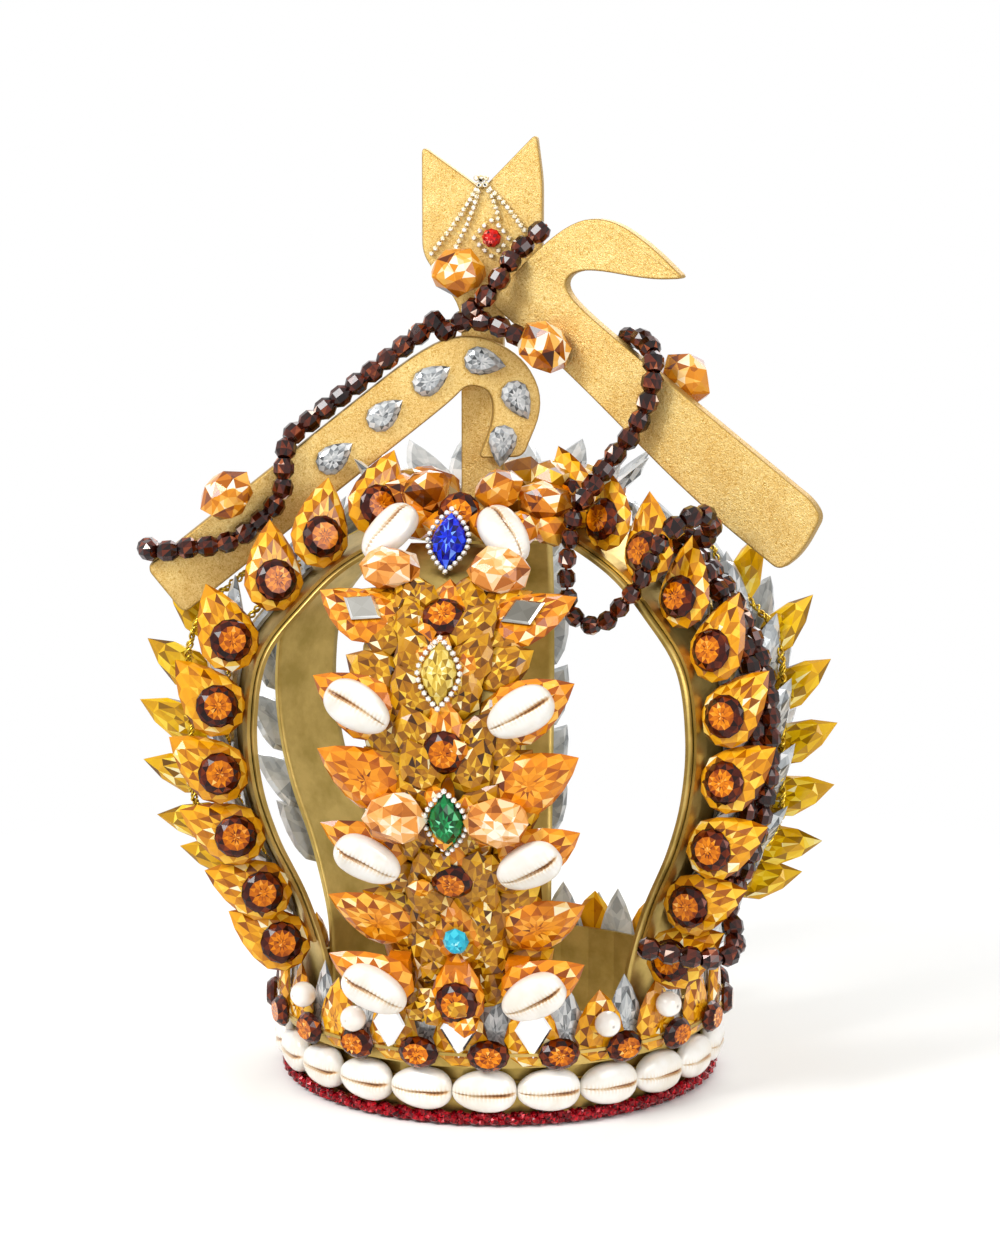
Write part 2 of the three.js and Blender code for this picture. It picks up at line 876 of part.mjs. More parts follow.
// Cowries on the leaves of the second, fourth and sixth rows, and two near the top
const cowrieBody = () => stoneBody(ovalOutline(cowrie), cowrie, shellShares);
const onLeafReach = 12; // from a leaf's round end to the middle of what lies on it
const onLeaf = (size, body) =>
  body.translate(0, onLeafReach - size.length / 2, frontLeaf.thickness + clearance);
let cowrieNumber = 0;
for (const row of [1, 3, 5]) {
  for (const side of [-1, 1]) {
    cowrieNumber += 1;
    addPiece(
      groups.front,
      "front_cowrie_" + cowrieNumber,
      placed(onLeaf(cowrie, cowrieBody()), frontLeafFrame(row, side)),
      shell(),
    );
  }
}
const topCowries = [
  { share: 0.91, u: -17, turn: degrees(40) },
  { share: 0.91, u: 17, turn: degrees(-40) },
];
for (const { share, u, turn } of topCowries) {
  cowrieNumber += 1;
  const { along, out, across } = stripAxes(share);
  const lengthwise = along.clone().multiplyScalar(Math.cos(turn)).addScaledVector(across, Math.sin(turn));
  const origin = stripPoint(share, u, clearance, frontDrift).addScaledVector(lengthwise, -cowrie.length / 2);
  const frame = stoneFrame(origin, lengthwise, out);
  addPiece(groups.front, "front_cowrie_" + cowrieNumber, placed(cowrieBody(), frame), shell());
}
for (const [name, side] of [
  ["right", 1],
  ["left", -1],
]) {
  const body = stoneBody(rhombusOutline(mirror), mirror, [
    [0, 1],
    [1, 1],
  ]);
  addPiece(
    groups.front,
    "front_mirror_" + name,
    placed(onLeaf(mirror, body), frontLeafFrame(0, side)),
    paint(0xe9eceb, 0.05, 1),
  );
}

const nuggetPlaces = [
  { share: 0.834, u: -17, h: 0.4 },
  { share: 0.834, u: 17, h: 0.4 },
  { share: 0.485, u: -16, h: 2.6 },
  { share: 0.485, u: 16, h: 2.6 },
];
const nuggetBody = (size) => stoneBody(ovalOutline(size, 7), size, nuggetShares);
nuggetPlaces.forEach(({ share, u, h }, i) => {
  const { out, across } = stripAxes(share);
  const origin = stripPoint(share, u, h, frontDrift).addScaledVector(across, -nugget.length / 2);
  addPiece(
    groups.front,
    "front_nugget_" + (i + 1),
    placed(nuggetBody(nugget), stoneFrame(origin, across, out)),
    paint(0xe79a3c, 0.1, 0, 0.85),
  );
});

// Tools. Each is a flat board in its own upright plane, and all three meet at the crown's axis.

const arrowFront = -clearance;
const toolGap = clearance;

function board(shape) {
  const options = { depth: boardThickness, bevelEnabled: false };
  return closed(new THREE.ExtrudeGeometry(shape, options).rotateX(Math.PI / 2));
}

const points2 = (shares, size) => shares.map(([x, y]) => new THREE.Vector2(x * size, y * size));

// Upright board with a forked top. Shares of half its width across, and of its height up.
const arrowCentre = -6;
const arrowShaftShare = arrowShaftWidth / arrowWidth;
const arrowShares = [
  [-arrowShaftShare, 0],
  [arrowShaftShare, 0],
  [arrowShaftShare, 0.55],
  [0.8, 0.64],
  [1, 0.69],
  [1, 0.88],
  [0.9, 1],
  [0, 0.855],
  [-1, 0.966],
  [-1, 0.69],
  [-0.8, 0.64],
  [-arrowShaftShare, 0.55],
];
const arrowShape = new THREE.Shape(
  arrowShares.map(([x, z]) => new THREE.Vector2(arrowCentre + (x * arrowWidth) / 2, z * arrowHeight)),
);
const arrowGroup = new THREE.Group();
arrowGroup.position.set(0, arrowFront + boardThickness, plate.topZ + clearance);
crown.add(arrowGroup);
addPiece(arrowGroup, "forked_upright_tool", board(arrowShape), goldLeaf());

// A tool's group: its back face passes through the pivot, turned by yaw, its shaft inclined by tilt.
function toolGroup(pivot, yaw, tilt) {
  const turned = new THREE.Group();
  turned.position.copy(pivot);
  turned.rotation.z = yaw;
  crown.add(turned);
  const inclined = new THREE.Group();
  inclined.rotation.y = -tilt;
  turned.add(inclined);
  return inclined;
}

// Crook: a straight strip that bends back on itself. Shares of its width, from the centre of the bend.
const crookBendShares = [
  [-0.5, 0.27],
  [-0.12, 0.33],
  [0.13, -0.02],
  [-0.15, -0.44],
  [-0.74, -0.78],
  [-0.15, -1.23],
  [0.72, -0.74],
  [0.91, 0.1],
  [0.53, 0.9],
  [-0.2, 1.27],
];
const crookEdgeShares = [1.27, 0.27];
const crookShape = new THREE.Shape([
  ...points2(crookBendShares, crookWidth),
  ...crookEdgeShares.map((w) => new THREE.Vector2(-crookLength, w * crookWidth)),
]);
const crookBend = -5;
const crookRise = 41.5; // the centre of its bend stands this far above the plate
const crookBendHeight = plate.topZ + crookRise;
const crookTilt = degrees(38);
const shaftEdge = arrowCentre + arrowShaftWidth / 2;
const crookBack = arrowFront - toolGap - (shaftEdge - crookBend) * Math.tan(toolYaw);
const crookGroup = toolGroup(vector(crookBend, crookBack, crookBendHeight), toolYaw, crookTilt);
addPiece(crookGroup, "crook_tool", board(crookShape), goldLeaf());

// Clear stones on the crook: places and headings in shares of its width, joined by a thin glued cord
const crookStonePlaces = [
  { at: [-2.6, 0.76], turn: degrees(-90) },
  { at: [-1.5, 0.8], turn: degrees(-90) },
  { at: [-0.53, 0.77], turn: degrees(-95) },
  { at: [0.33, 0.44], turn: degrees(-140) },
  { at: [0.37, -0.42], turn: degrees(-190) },
  { at: [-0.31, -0.85], turn: degrees(-225) },
];
const crookFace = -boardThickness - clearance;
const crookCord = 1;

function crookStones() {
  const pieces = [];
  const route = [];
  for (const { at, turn } of crookStonePlaces) {
    const centre = vector(at[0] * crookWidth, crookFace, at[1] * crookWidth);
    route.push(centre.clone().setY(crookFace - crookCord / 2));
    const lengthwise = vector(-Math.sin(turn), 0, Math.cos(turn));
    const origin = centre.clone().addScaledVector(lengthwise, -crookStone.length / 2);
    const frame = stoneFrame(origin, lengthwise, vector(0, -1, 0));
    pieces.push(placed(stoneBody(dropOutline(crookStone), crookStone, cutShares), frame));
  }
  pieces.push(cord(route, crookCord, 15, 4));
  return joined(pieces);
}
addPiece(crookGroup, "crook_stones", crookStones(), clearGlass());

// Blade with a hooked beak. Head points are shares of the head's height.
const bladeHeadShares = [
  [0.5, 0.43],
  [0.31, 0.452],
  [0.285, 0.54],
  [0.375, 0.654],
  [0.69, 0.845],
  [0.848, 0.991],
  [0.559, 1],
  [0.279, 0.954],
  [0.105, 0.79],
  [0.02, 0.4],
  [0.01, 0.075],
];
// The rest of the blade: shares of its length and of its foot's width
const bladeEdgeShares = [
  [0.26, 0.21],
  [0.71, 0.14],
  [0.985, 0.25],
  [1, 0.6],
  [0.98, 1.12],
  [0.936, 1.19],
];
const bladeShape = new THREE.Shape([
  ...points2(bladeHeadShares, bladeHead),
  ...bladeEdgeShares.map(([x, y]) => new THREE.Vector2(x * bladeLength, y * bladeFootWidth)),
]);
const bladeHeel = -4; // where the blade's lower corner lies, across and above the plate
const bladeRise = 68.5;
const bladeHeelHeight = plate.topZ + bladeRise;
const bladeTilt = degrees(-39.5);
const bladeGroup = toolGroup(vector(bladeHeel, arrowFront - toolGap, bladeHeelHeight), -toolYaw, bladeTilt);
addPiece(bladeGroup, "hooked_blade_tool", board(bladeShape), goldLeaf());

// Rhinestone chains that fan from a knot on the upright board, and a red stone in a rhinestone flower.
// Places are shares of the board's height, measured from its foot and its centre line.
const arrowFace = -boardThickness - clearance;
const knotPlace = [0, 0.88];
const chainEndShares = [
  [-0.095, 0.68],
  [-0.045, 0.685],
  [0.1, 0.73],
  [0.118, 0.743],
];
const onArrow = ([x, z], depth) => vector(arrowCentre + x * arrowHeight, arrowFace - depth, z * arrowHeight);

function rhinestoneChains() {
  const knot = new THREE.IcosahedronGeometry(rhinestoneDiameter);
  const pieces = [placed(knot, new THREE.Matrix4().setPosition(onArrow(knotPlace, rhinestoneDiameter)))];
  for (const end of chainEndShares) {
    const middle = [(knotPlace[0] + end[0]) / 2, (knotPlace[1] + end[1]) / 2];
    const route = [knotPlace, middle, end].map((place) => onArrow(place, rhinestoneDiameter / 2));
    pieces.push(cord(route, rhinestoneDiameter, 4, 4));
  }
  return joined(pieces);
}
addPiece(arrowGroup, "rhinestone_chains", rhinestoneChains(), paint(0xe6e6e0, 0.15, 0.9));

const flower = { length: 12, width: 11, thickness: 3 };
const flowerPlace = [0.027, 0.73];
addPiece(
  arrowGroup,
  "red_flower_stone",
  placed(
    stoneBody(ovalOutline(flower), flower, cutShares),
    stoneFrame(onArrow(flowerPlace, 0).addScaledVector(up, -flower.length / 2), up, vector(0, -1, 0)),
  ),
  paint(0xb80f14, 0.1, 0),
);

// Large amber nuggets tied at the tools: the middle of each, in the frame of the tool it is tied to. The top
// one hangs at the upright board, above the blade's heel.
const topNuggetRise = 13.3;
const bigNuggets = [
  { name: "big_nugget_top", parent: crown, middle: vector(-12, -10.2, bladeHeelHeight + topNuggetRise) },
  {
    name: "big_nugget_middle",
    parent: bladeGroup,
    middle: vector(26.6, -boardThickness - clearance - bigNugget.thickness / 2, 8.9),
  },
  {
    name: "big_nugget_right",
    parent: bladeGroup,
    middle: vector(65, clearance + bigNugget.thickness / 2, 28),
  },
  {
    name: "big_nugget_left",
    parent: crookGroup,
    middle: vector(-86, -boardThickness - clearance - bigNugget.thickness / 2, 28),
  },
];
for (const { name, parent, middle } of bigNuggets) {
  const frame = stoneFrame(middle, vector(1, 0, 0), vector(0, -1, 0));
  const body = nuggetBody(bigNugget).translate(0, -bigNugget.length / 2, -bigNugget.thickness / 2);
  addPiece(parent, name, placed(body, frame), paint(0xe08a1e, 0.08, 0, 0.85));
}

// Strands of dark faceted beads. Their routes are points chosen by hand, from a height where one is given.
const route = (list, from = 0) => list.map(([x, y, z]) => vector(x, y, from + z));

addPiece(
  crown,
  "bead_strand_top",
  strand(
    route(
      [
        [16.5, -6, 28.5],
        [11.3, -7, 23.5],
        [7.3, -9.5, 19.7],
        [4.7, -14, 15.3],
        [1.5, -16, 9.9],
        [-3.6, -15, 4],
        [-9.2, -11, -0.2],
      ],
      bladeHeelHeight,
    ),
  ),
  topazGlass(),
);

// The strand along the crook lies on its upper edge, crosses its face near the foot and goes round behind it.
// Points are in the crook's own frame.
addPiece(
  crookGroup,
  "bead_strand_crook",
  strand(
    route([
      [5, -2.2, 28.9],
      [-25, -2.2, 28.9],
      [-50, -2.2, 28.9],
      [-59, -4.5, 28.8],
      [-65, -8.6, 24.5],
      [-71, -8.6, 18],
      [-79, -8.6, 14.6],
      [-86, -8.6, 14.2],
      [-93, -8.6, 14.6],
      [-100, -8.6, 17.6],
      [-107, -8.6, 22],
      [-113, -8.4, 25.5],
      [-117, -6.5, 28.6],
      [-118, -2, 29.4],
      [-117, 3, 28],
      [-116, 4.4, 22],
      [-116, 4.4, 15],
    ]),
  ),
  topazGlass(),
);

// The strand round the blade falls to the start of the loop. Its points are [x, y, share of the height from
// there up to the blade's heel].
const loopStart = vector(31.8, -43.7, 195.5);
const bladeStrandPlaces = [
  [41.7, -9, 0.871],
  [48.4, -15, 0.876],
  [53.3, -23, 0.815],
  [54.2, -27.2, 0.698],
  [53, -27.2, 0.587],
  [50.4, -26.7, 0.467],
  [46.5, -27, 0.356],
  [42.8, -29, 0.277],
  [39.1, -32, 0.19],
  [35.2, -38, 0.087],
  [32.3, -42.8, 0.018],
];
const strandFall = bladeHeelHeight - loopStart.z;
addPiece(
  crown,
  "bead_strand_blade",
  strand(bladeStrandPlaces.map(([x, y, share]) => vector(x, y, loopStart.z + share * strandFall))),
  topazGlass(),
);

// The loop hangs free in the upright plane through its two hanging points. Its points are [along, down].
const loopHeading = vector(0.929, -0.371, 0);
const loopPoints = [
  [0, 0],
  [-1.4, -5.6],
  [-2.2, -12],
  [-3.2, -18.9],
  [-2.8, -25],
  [-1.7, -31.1],
  [0.9, -35],
  [6.8, -36.5],
  [12.7, -34],
  [17.4, -28.8],
  [22.1, -23.6],
  [25.6, -17.6],
  [29.1, -11],
  [32.3, -6],
];
const onLoop = ([d, z]) => loopStart.clone().addScaledVector(loopHeading, d).addScaledVector(up, z);
addPiece(crown, "hanging_bead_loop", strand(loopPoints.map(onLoop)), topazGlass());

// The last strand starts where the loop ends, climbs over the right-hand drops, runs down the strip between
// its drops and its leaves, then round in front. Its first points are in the group's frame, the others are
// [share of the strip's length, u, h] in the strip's frame.
const rightStrandStart = [
  [-16.7, -81.5, 190],
  [-13, -84.5, 193.5],
  [-7, -86.5, 195.5],
  [0, -86, 193.5],
  [3.5, -83.5, 187.5],
];
const rightStrandPlaces = [
  [0.83, 3, 15.5],
  [0.78, 3, 15.5],
  [0.72, 3, 15],
  [0.66, 3, 13.5],
  [0.6, 3, 12.2],
  [0.54, 3, 11.8],
  [0.48, 3, 11.8],
  [0.42, 3, 12],
  [0.36, 3, 14],
  [0.31, 1.5, 23],
  [0.29, -5, 29],
  [0.28, -14, 27],
  [0.275, -22, 19],
  [0.27, -27, 11],
];
addPiece(
  groups.front_right,
  "bead_strand_right",
  strand([...route(rightStrandStart), ...rightStrandPlaces.map(([share, u, h]) => stripPoint(share, u, h))]),
  topazGlass(),
);

// The part's origin is the middle of its box at the bottom.
const box = new THREE.Box3().setFromObject(crown, true);
const middle = box.getCenter(vector(0, 0, 0));
crown.position.set(-middle.x, -middle.y, -box.min.z);

export default crown;
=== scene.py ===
"""The looks of the orisha crown: cut stones, cowries, beads, chains and gold sheet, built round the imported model.

Places are worked out in millimetres in the crown's own frame (base centre at the origin, front along -Y) and are
brought to the row frame, in metres, where a mesh is made. A shape is its corners, its faces and a tone for each
face.
"""
import math

import bpy
import numpy as np
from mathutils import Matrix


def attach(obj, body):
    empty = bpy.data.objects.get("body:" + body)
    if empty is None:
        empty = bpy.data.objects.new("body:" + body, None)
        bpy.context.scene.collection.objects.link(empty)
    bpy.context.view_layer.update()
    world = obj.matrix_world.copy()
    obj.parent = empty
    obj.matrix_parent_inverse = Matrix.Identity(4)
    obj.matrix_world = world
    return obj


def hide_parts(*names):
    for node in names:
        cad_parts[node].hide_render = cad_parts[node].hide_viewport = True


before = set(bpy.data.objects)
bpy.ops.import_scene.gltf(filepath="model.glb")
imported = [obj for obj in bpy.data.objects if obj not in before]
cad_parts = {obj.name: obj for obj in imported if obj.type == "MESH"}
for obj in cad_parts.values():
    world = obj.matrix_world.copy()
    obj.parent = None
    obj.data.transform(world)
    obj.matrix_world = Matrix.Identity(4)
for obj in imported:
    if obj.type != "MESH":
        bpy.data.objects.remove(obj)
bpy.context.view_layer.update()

METRE = 0.001
CROWN_SHIFT = np.array([1.8899, 0.7401, 0.0])  # from the crown's frame to the row frame
TURN = 2 * math.pi
UP = np.array([0.0, 0.0, 1.0])
TO_FRONT = np.array([0.0, -1.0, 0.0])

# -------------------------------- sizes of the crown, in millimetres

CLEARANCE = 0.3
SHEET = 1.2
BAND_RADIUS = 68.4
BAND_HEIGHT = 31.0
DOME_RADIUS = 90.0
DOME_HEIGHT = 189.5
FOOT_LIFT = 2.0
FOOT_RADIUS = BAND_RADIUS - SHEET - 2 * CLEARANCE
STRIP_WIDTH = 30.0
FRONT_WIDTH = 50.0
FRONT_TOP_WIDTH = 26.0
FRONT_END = 0.93  # the ends and the taper are shares of a strip's length
SIDE_END = 0.98
TAPER_START = 0.72
FRONT_DRIFT = 10.0
TAPE = 5.0
TAPE_TOP = 1.4
TAPE_THICK = 0.8
PAD = 7.0
SEAT = 0.9
BOARD = 4.5
BOARD_FACE = -BOARD - CLEARANCE

# Stones and shells: length, width, thickness
DROP = (30.0, 20.0, 4.0)
ROUND = (14.0, 14.0, 3.0)
LEAF = (28.0, 18.0, 3.5)
SPIKE = (33.0, 13.5, 3.5)
PETAL = (24.0, 18.0, 3.0)
CLEAR_PETAL = (27.0, 16.0, 1.8)
OVAL = (13.8, 10.6, 3.6)
CENTRE_DROP = (25.0, 18.0, 3.5)
MARQUISE = (20.0, 11.5, 4.5)
TURQUOISE = (9.5, 8.5, 4.0)
MIRROR = (15.0, 11.0, 1.2)
PETAL_MIRROR = (19.0, 12.0, 1.2)
CROOK_STONE = (14.0, 9.5, 2.5)
BASE_COWRIE = (20.7, 14.6, 7.0)
COWRIE = (22.0, 15.0, 7.5)
NUGGET = (22.0, 18.0, 11.0)
BIG_NUGGET = (20.0, 17.0, 14.0)
FRONT_LEAF = (30.0, 20.0, 4.0)
FLOWER = (6.4, 6.4, 3.0)
RHINESTONE = (2.0, 2.0, 1.3)
BEAD = 7.2
BEAD_PITCH = 6.6
LOOP_BEAD = 6.2  # a little smaller, so that the loop swings clear of the strip
SEED_BEAD = 3.0
PEARL = 8.4


# -------------------------------- directions, frames and curves

def unit(v):
    """Vectors divided by their own lengths."""
    return v / np.linalg.norm(v, axis=-1, keepdims=True)


def smoothstep(x, low, high):
    """0 below low, 1 above high, and 3t^2 - 2t^3 between them."""
    t = np.clip((x - low) / (high - low), 0, 1)
    return t * t * (3 - 2 * t)


def swung(one, two, angle):
    """The direction that lies an angle round from one towards two: one cos + two sin."""
    return one * np.cos(angle) + two * np.sin(angle)


def ring_out(a):
    """Directions out from the crown's axis at azimuths in radians: (sin a, -cos a, 0)."""
    return np.stack([np.sin(a), -np.cos(a), 0 * a], -1)


def turned(rows, azimuth):
    """Points, or frames, turned about the crown's axis by an azimuth in degrees."""
    a = np.radians(azimuth)
    return rows @ np.array([[np.cos(a), np.sin(a), 0], [-np.sin(a), np.cos(a), 0], [0, 0, 1]])


def spun(shape, azimuth):
    """A shape turned about the crown's axis."""
    return turned(shape[0], azimuth), *shape[1:]


def stone_frames(origin, along, face):
    """Frames of four rows: across, along, face and origin. The face direction is made square to the length."""
    y = unit(np.asarray(along, float))
    z = unit(face - np.sum(face * y, -1, keepdims=True) * y)
    return np.stack(np.broadcast_arrays(np.cross(y, z), y, z, origin), -2)


def carried(points, frames):
    """Points of one stone carried into each frame: x across + y along + z face + origin."""
    return np.concatenate([points, np.ones((len(points), 1))], 1) @ frames


def moved(frames, x=0.0, y=0.0, z=0.0):
    """The same frames with their origins moved along their own rows."""
    out = frames.copy()
    out[..., 3, :] += x * frames[..., 0, :] + y * frames[..., 1, :] + z * frames[..., 2, :]
    return out


def tipped(frames, degrees):
    """The same frames, their length turned up towards the face direction about the row across."""
    a = math.radians(degrees)
    out = frames.copy()
    out[..., 1, :] = swung(frames[..., 1, :], frames[..., 2, :], a)
    out[..., 2, :] = swung(frames[..., 2, :], frames[..., 1, :], -a)
    return out


def side_of(direction):
    """A direction square to each one given, and the third square to both."""
    guide = np.where(np.abs(direction[..., 2:3]) < 0.9, UP, np.array([1.0, 0, 0]))
    first = unit(np.cross(direction, guide))
    return first, np.cross(direction, first)


def spline(knots, t):
    """The uniform Catmull-Rom curve through the knots, at shares t of its parameter."""
    last = len(knots) - 1
    p = np.clip(t, 0, 1) * last
    i = np.minimum(np.floor(p).astype(int), last - 1)
    w = (p - i)[..., None]
    p0, p1, p2, p3 = (knots[np.clip(i + k, 0, last)] for k in (-1, 0, 1, 2))
    v0, v1 = (p2 - p0) / 2, (p3 - p1) / 2
    return (2 * p1 - 2 * p2 + v0 + v1) * w**3 + (-3 * p1 + 3 * p2 - 2 * v0 - v1) * w**2 + v0 * w + p1


def route_curve(places, steps=24):
    """A fine polyline through places in space: the centripetal Catmull-Rom curve, its ends carried straight on."""
    p = np.asarray(places, float)
    p = np.concatenate([[2 * p[0] - p[1]], p, [2 * p[-1] - p[-2]]])
    a, b, c, d = p[:-3], p[1:-2], p[2:-1], p[3:]
    gap = np.sqrt(np.linalg.norm(np.diff(p, axis=0), axis=1))[:, None]
    g0, g1, g2 = gap[:-2], gap[1:-1], gap[2:]
    t1 = ((b - a) / g0 - (c - a) / (g0 + g1) + (c - b) / g1) * g1
    t2 = ((c - b) / g1 - (d - b) / (g1 + g2) + (d - c) / g2) * g1
    w = (np.arange(steps) / steps)[:, None, None]
    curve = b + t1 * w + (-3 * b + 3 * c - 2 * t1 - t2) * w**2 + (2 * b - 2 * c + t1 + t2) * w**3
    return np.concatenate([curve.transpose(1, 0, 2).reshape(-1, 3), p[-2:-1]])


def run_lengths(line):
    """The length of a polyline up to each of its points."""
    return np.concatenate([[0], np.cumsum(np.linalg.norm(np.diff(line, axis=0), axis=1))])


def along_curve(curve, share):
    """Points at shares of a polyline's length, and the directions it runs in there."""
    length = run_lengths(curve)
    place, step = np.asarray(share) * length[-1], 0.002 * length[-1]
    at = lambda s: np.stack([np.interp(s, length, curve[:, k]) for k in range(3)], -1)
    return at(place), unit(at(np.minimum(place + step, length[-1])) - at(np.maximum(place - step, 0)))


# The strips' profile: [radius, height] knots
LOWER = np.array([[0.05, 0.09], [0.31, 0.23], [0.7, 0.355], [0.935, 0.47], [1, 0.6]])
UPPER = np.array([[0.955, 0.735], [0.81, 0.835], [0.655, 0.911], [0.445, 0.968], [0.3, 0.99]])
PROFILE = np.concatenate([
    [[FOOT_RADIUS, FOOT_LIFT], [FOOT_RADIUS, BAND_HEIGHT / 2], [FOOT_RADIUS, BAND_HEIGHT]],
    [FOOT_RADIUS, BAND_HEIGHT] + LOWER * [DOME_RADIUS - FOOT_RADIUS, DOME_HEIGHT - BAND_HEIGHT],
    [0, BAND_HEIGHT] + UPPER * [DOME_RADIUS, DOME_HEIGHT - BAND_HEIGHT]])
PROFILE_STEPS = np.linspace(0, 1, 401)
PROFILE_RUN = run_lengths(spline(PROFILE, PROFILE_STEPS))
STRIP_LENGTH = PROFILE_RUN[-1]


def profile_step(share):
    """The curve's parameter at a share of the strip's length."""
    return np.interp(np.clip(share, 0, 1) * STRIP_LENGTH, PROFILE_RUN, PROFILE_STEPS)


def strip_axes(share):
    """Along, out of and across the strip at a share of its length."""
    t = profile_step(np.asarray(share, float))
    run = unit(spline(PROFILE, np.minimum(t + 1e-4, 1)) - spline(PROFILE, np.maximum(t - 1e-4, 0)))
    r, z = run[..., 0], run[..., 1]
    none = 0 * r
    return np.stack([none, -r, z], -1), np.stack([none, -z, -r], -1), np.stack([none + 1, none, none], -1)


def strip_point(share, u, h, drift=0.0):
    """A point of the strip's frame: u across it and h out of it. It is round at the foot and nearly flat above."""
    share, u, h = np.broadcast_arrays(*[np.asarray(x, float) for x in (share, u, h)])
    at = spline(PROFILE, profile_step(share))
    bow = 1 - 0.8 * smoothstep(share, 0.16, 0.34)
    sag = bow * (FOOT_RADIUS - np.sqrt(FOOT_RADIUS**2 - u**2))
    wander = -drift * np.maximum(share - 0.5, 0) / 0.5
    return np.stack([u + wander, -at[..., 0], at[..., 1]], -1) + strip_axes(share)[1] * (h - sag)[..., None]


def on_strip(share, u, h, splay=0.0, tilt=0.0, drift=0.0, ahead=0.0):
    """Frames of stones on the strip's outer face: length up the strip, splayed across it and tilted off it. Below a
    share of 0.4, where the strip flares out, the directions may be taken a little further up."""
    splay, tilt = (np.asarray(angle, float)[..., None] for angle in (splay, tilt))
    along, out, across = strip_axes(np.where(np.asarray(share) < 0.4, share + ahead, share))
    return stone_frames(strip_point(share, u, h, drift), swung(swung(along, across, splay), out, tilt), out)


def on_front(share, u, h, splay=0.0, tilt=0.0, ahead=0.0):
    """The same on the front strip, whose upper half drifts to one side."""
    return on_strip(share, u, h, splay, tilt, FRONT_DRIFT, ahead)


# -------------------------------- materials


def colour(code):
    """A hex sRGB colour as linear RGBA: c/12.92 below 0.04045, ((c + 0.055)/1.055)^2.4 above."""
    c = np.array([int(code[i:i + 2], 16) / 255 for i in (1, 3, 5)])
    return (*np.where(c <= 0.04045, c / 12.92, ((c + 0.055) / 1.055) ** 2.4).tolist(), 1.0)


def add_node(tree, kind, settings=None, inputs=None, stops=None):
    """Adds a shader node. An input is given a value, the output that is linked to it, or a node, whose first output
    in use is linked; stops are a ramp's places and colours."""
    node = tree.nodes.new("ShaderNode" + kind)
    for key, value in (settings or {}).items():
        setattr(node, key, value)
    for key, value in (inputs or {}).items():
        if isinstance(value, bpy.types.Node):
            value = next(output for output in value.outputs if output.enabled)
        if isinstance(value, bpy.types.NodeSocket):
            tree.links.new(value, node.inputs[key])
        else:
            node.inputs[key].default_value = value
    if stops:
        places, shades = stops[0], stops[1].split()
        elements = node.color_ramp.elements
        while len(elements) < len(shades):
            elements.new(0.5)
        for element, position, shade in zip(elements, places, shades):
            element.position = position
            element.color = colour(shade)
    return node


def new_finish(name):
    """An empty material, its nodes, and the place on the object that its patterns read."""
    material = bpy.data.materials.new(name)
    material.use_nodes = True
    tree = material.node_tree
    tree.nodes.clear()
    return material, tree, add_node(tree, "TexCoord").outputs["Object"]


def shade_with(tree, inputs):
    """The Principled shader, its plain values set on its own sockets, and the output."""
    shader = add_node(tree, "BsdfPrincipled", inputs=inputs)
    add_node(tree, "OutputMaterial", inputs={"Surface": shader})


def per_millimetre(period):
    """A texture scale for object coordinates in metres whose features are this many millimetres apart."""
    return 1 / (period * METRE)


FIVE = (0.0, 0.25, 0.5, 0.75, 1.0)
SIX = (0.0, 0.2, 0.42, 0.68, 0.88, 1.0)


def cut_glass(name, places, shades, glint=0.14, patch_size=2.2, metallic=0.0, through=0.0, roughness=0.12,
              gloss=0.3):
    """A pressed acrylic or glass stone on foil. Each facet has its own tone, and the ramp paints light with it:
    painted shade on a facet that looks down, up to a painted glint of the foil; patches a few millimetres across
    break it up a little as painted reflections of the back facets. The surface gives only small bright lights, so
    the colour stays deep."""
    material, tree, place = new_finish(name)
    tone = add_node(tree, "Attribute", {"attribute_name": "tone"}).outputs["Fac"]
    inner = add_node(tree, "TexVoronoi", inputs={"Vector": place, "Scale": per_millimetre(patch_size)})
    patch = add_node(tree, "SeparateColor", inputs={"Color": inner.outputs["Color"]})
    centred = add_node(tree, "Math", {"operation": "SUBTRACT"}, {0: patch, 1: 0.5})
    mixed = add_node(tree, "Math", {"operation": "MULTIPLY_ADD"}, {0: centred, 1: glint, 2: tone})
    ramp = add_node(tree, "ValToRGB", inputs={"Fac": mixed}, stops=(places, shades))
    shade_with(tree, {
        "Base Color": ramp, "Metallic": metallic, "Roughness": roughness, "Transmission Weight": through,
        "IOR": 1.49, "Specular IOR Level": 0.2, "Coat Weight": gloss, "Coat Roughness": 0.02})
    return material


# Each ramp below runs from painted shade, through the stone's own colour, to painted glints and reflections at its
# top; a facet's tone picks its place
# Foil-backed acrylic: vivid amber with brown and bright yellow facets
amber = cut_glass("amber_acrylic_foil_backed", SIX,
                  "#5A2C02 #9E5404 #D88C0A #EFAA16 #FFD24A #FFF8D4", 0.1, 3.0)
# The front stones are the same acrylic with a redder foil
front_amber = cut_glass("amber_acrylic_red_foil", SIX,
                        "#6A2C02 #A85206 #D87C0C #EE9818 #FFC450 #FFF2C8", 0.1, 3.0)
# Gold-yellow acrylic that fills the gaps
fill_yellow = cut_glass("golden_acrylic_foil_backed", SIX,
                        "#3C2002 #704004 #A86A08 #CC920E #F2C63C #FFF6C8", 0.1, 3.0)
# Cut topaz glass: nearly black-brown painted shade at the rim, painted bright orange light in the table
topaz = cut_glass("topaz_glass_foil_backed", (0.0, 0.2, 0.4, 0.58, 0.82, 1.0),
                  "#1E0502 #481203 #7C2E02 #C26202 #F09008 #FFC868", 0.12, 3.6, gloss=0.1)
# Clear acrylic on a silver foil: grey and white facets, painted shade and painted reflections of the foil
clear = cut_glass("clear_acrylic_silver_foil", FIVE,
                  "#55585A #92979A #C9CED0 #E9ECEC #FFFFFF", 0.24, 3.2, metallic=0.15, through=0.25)
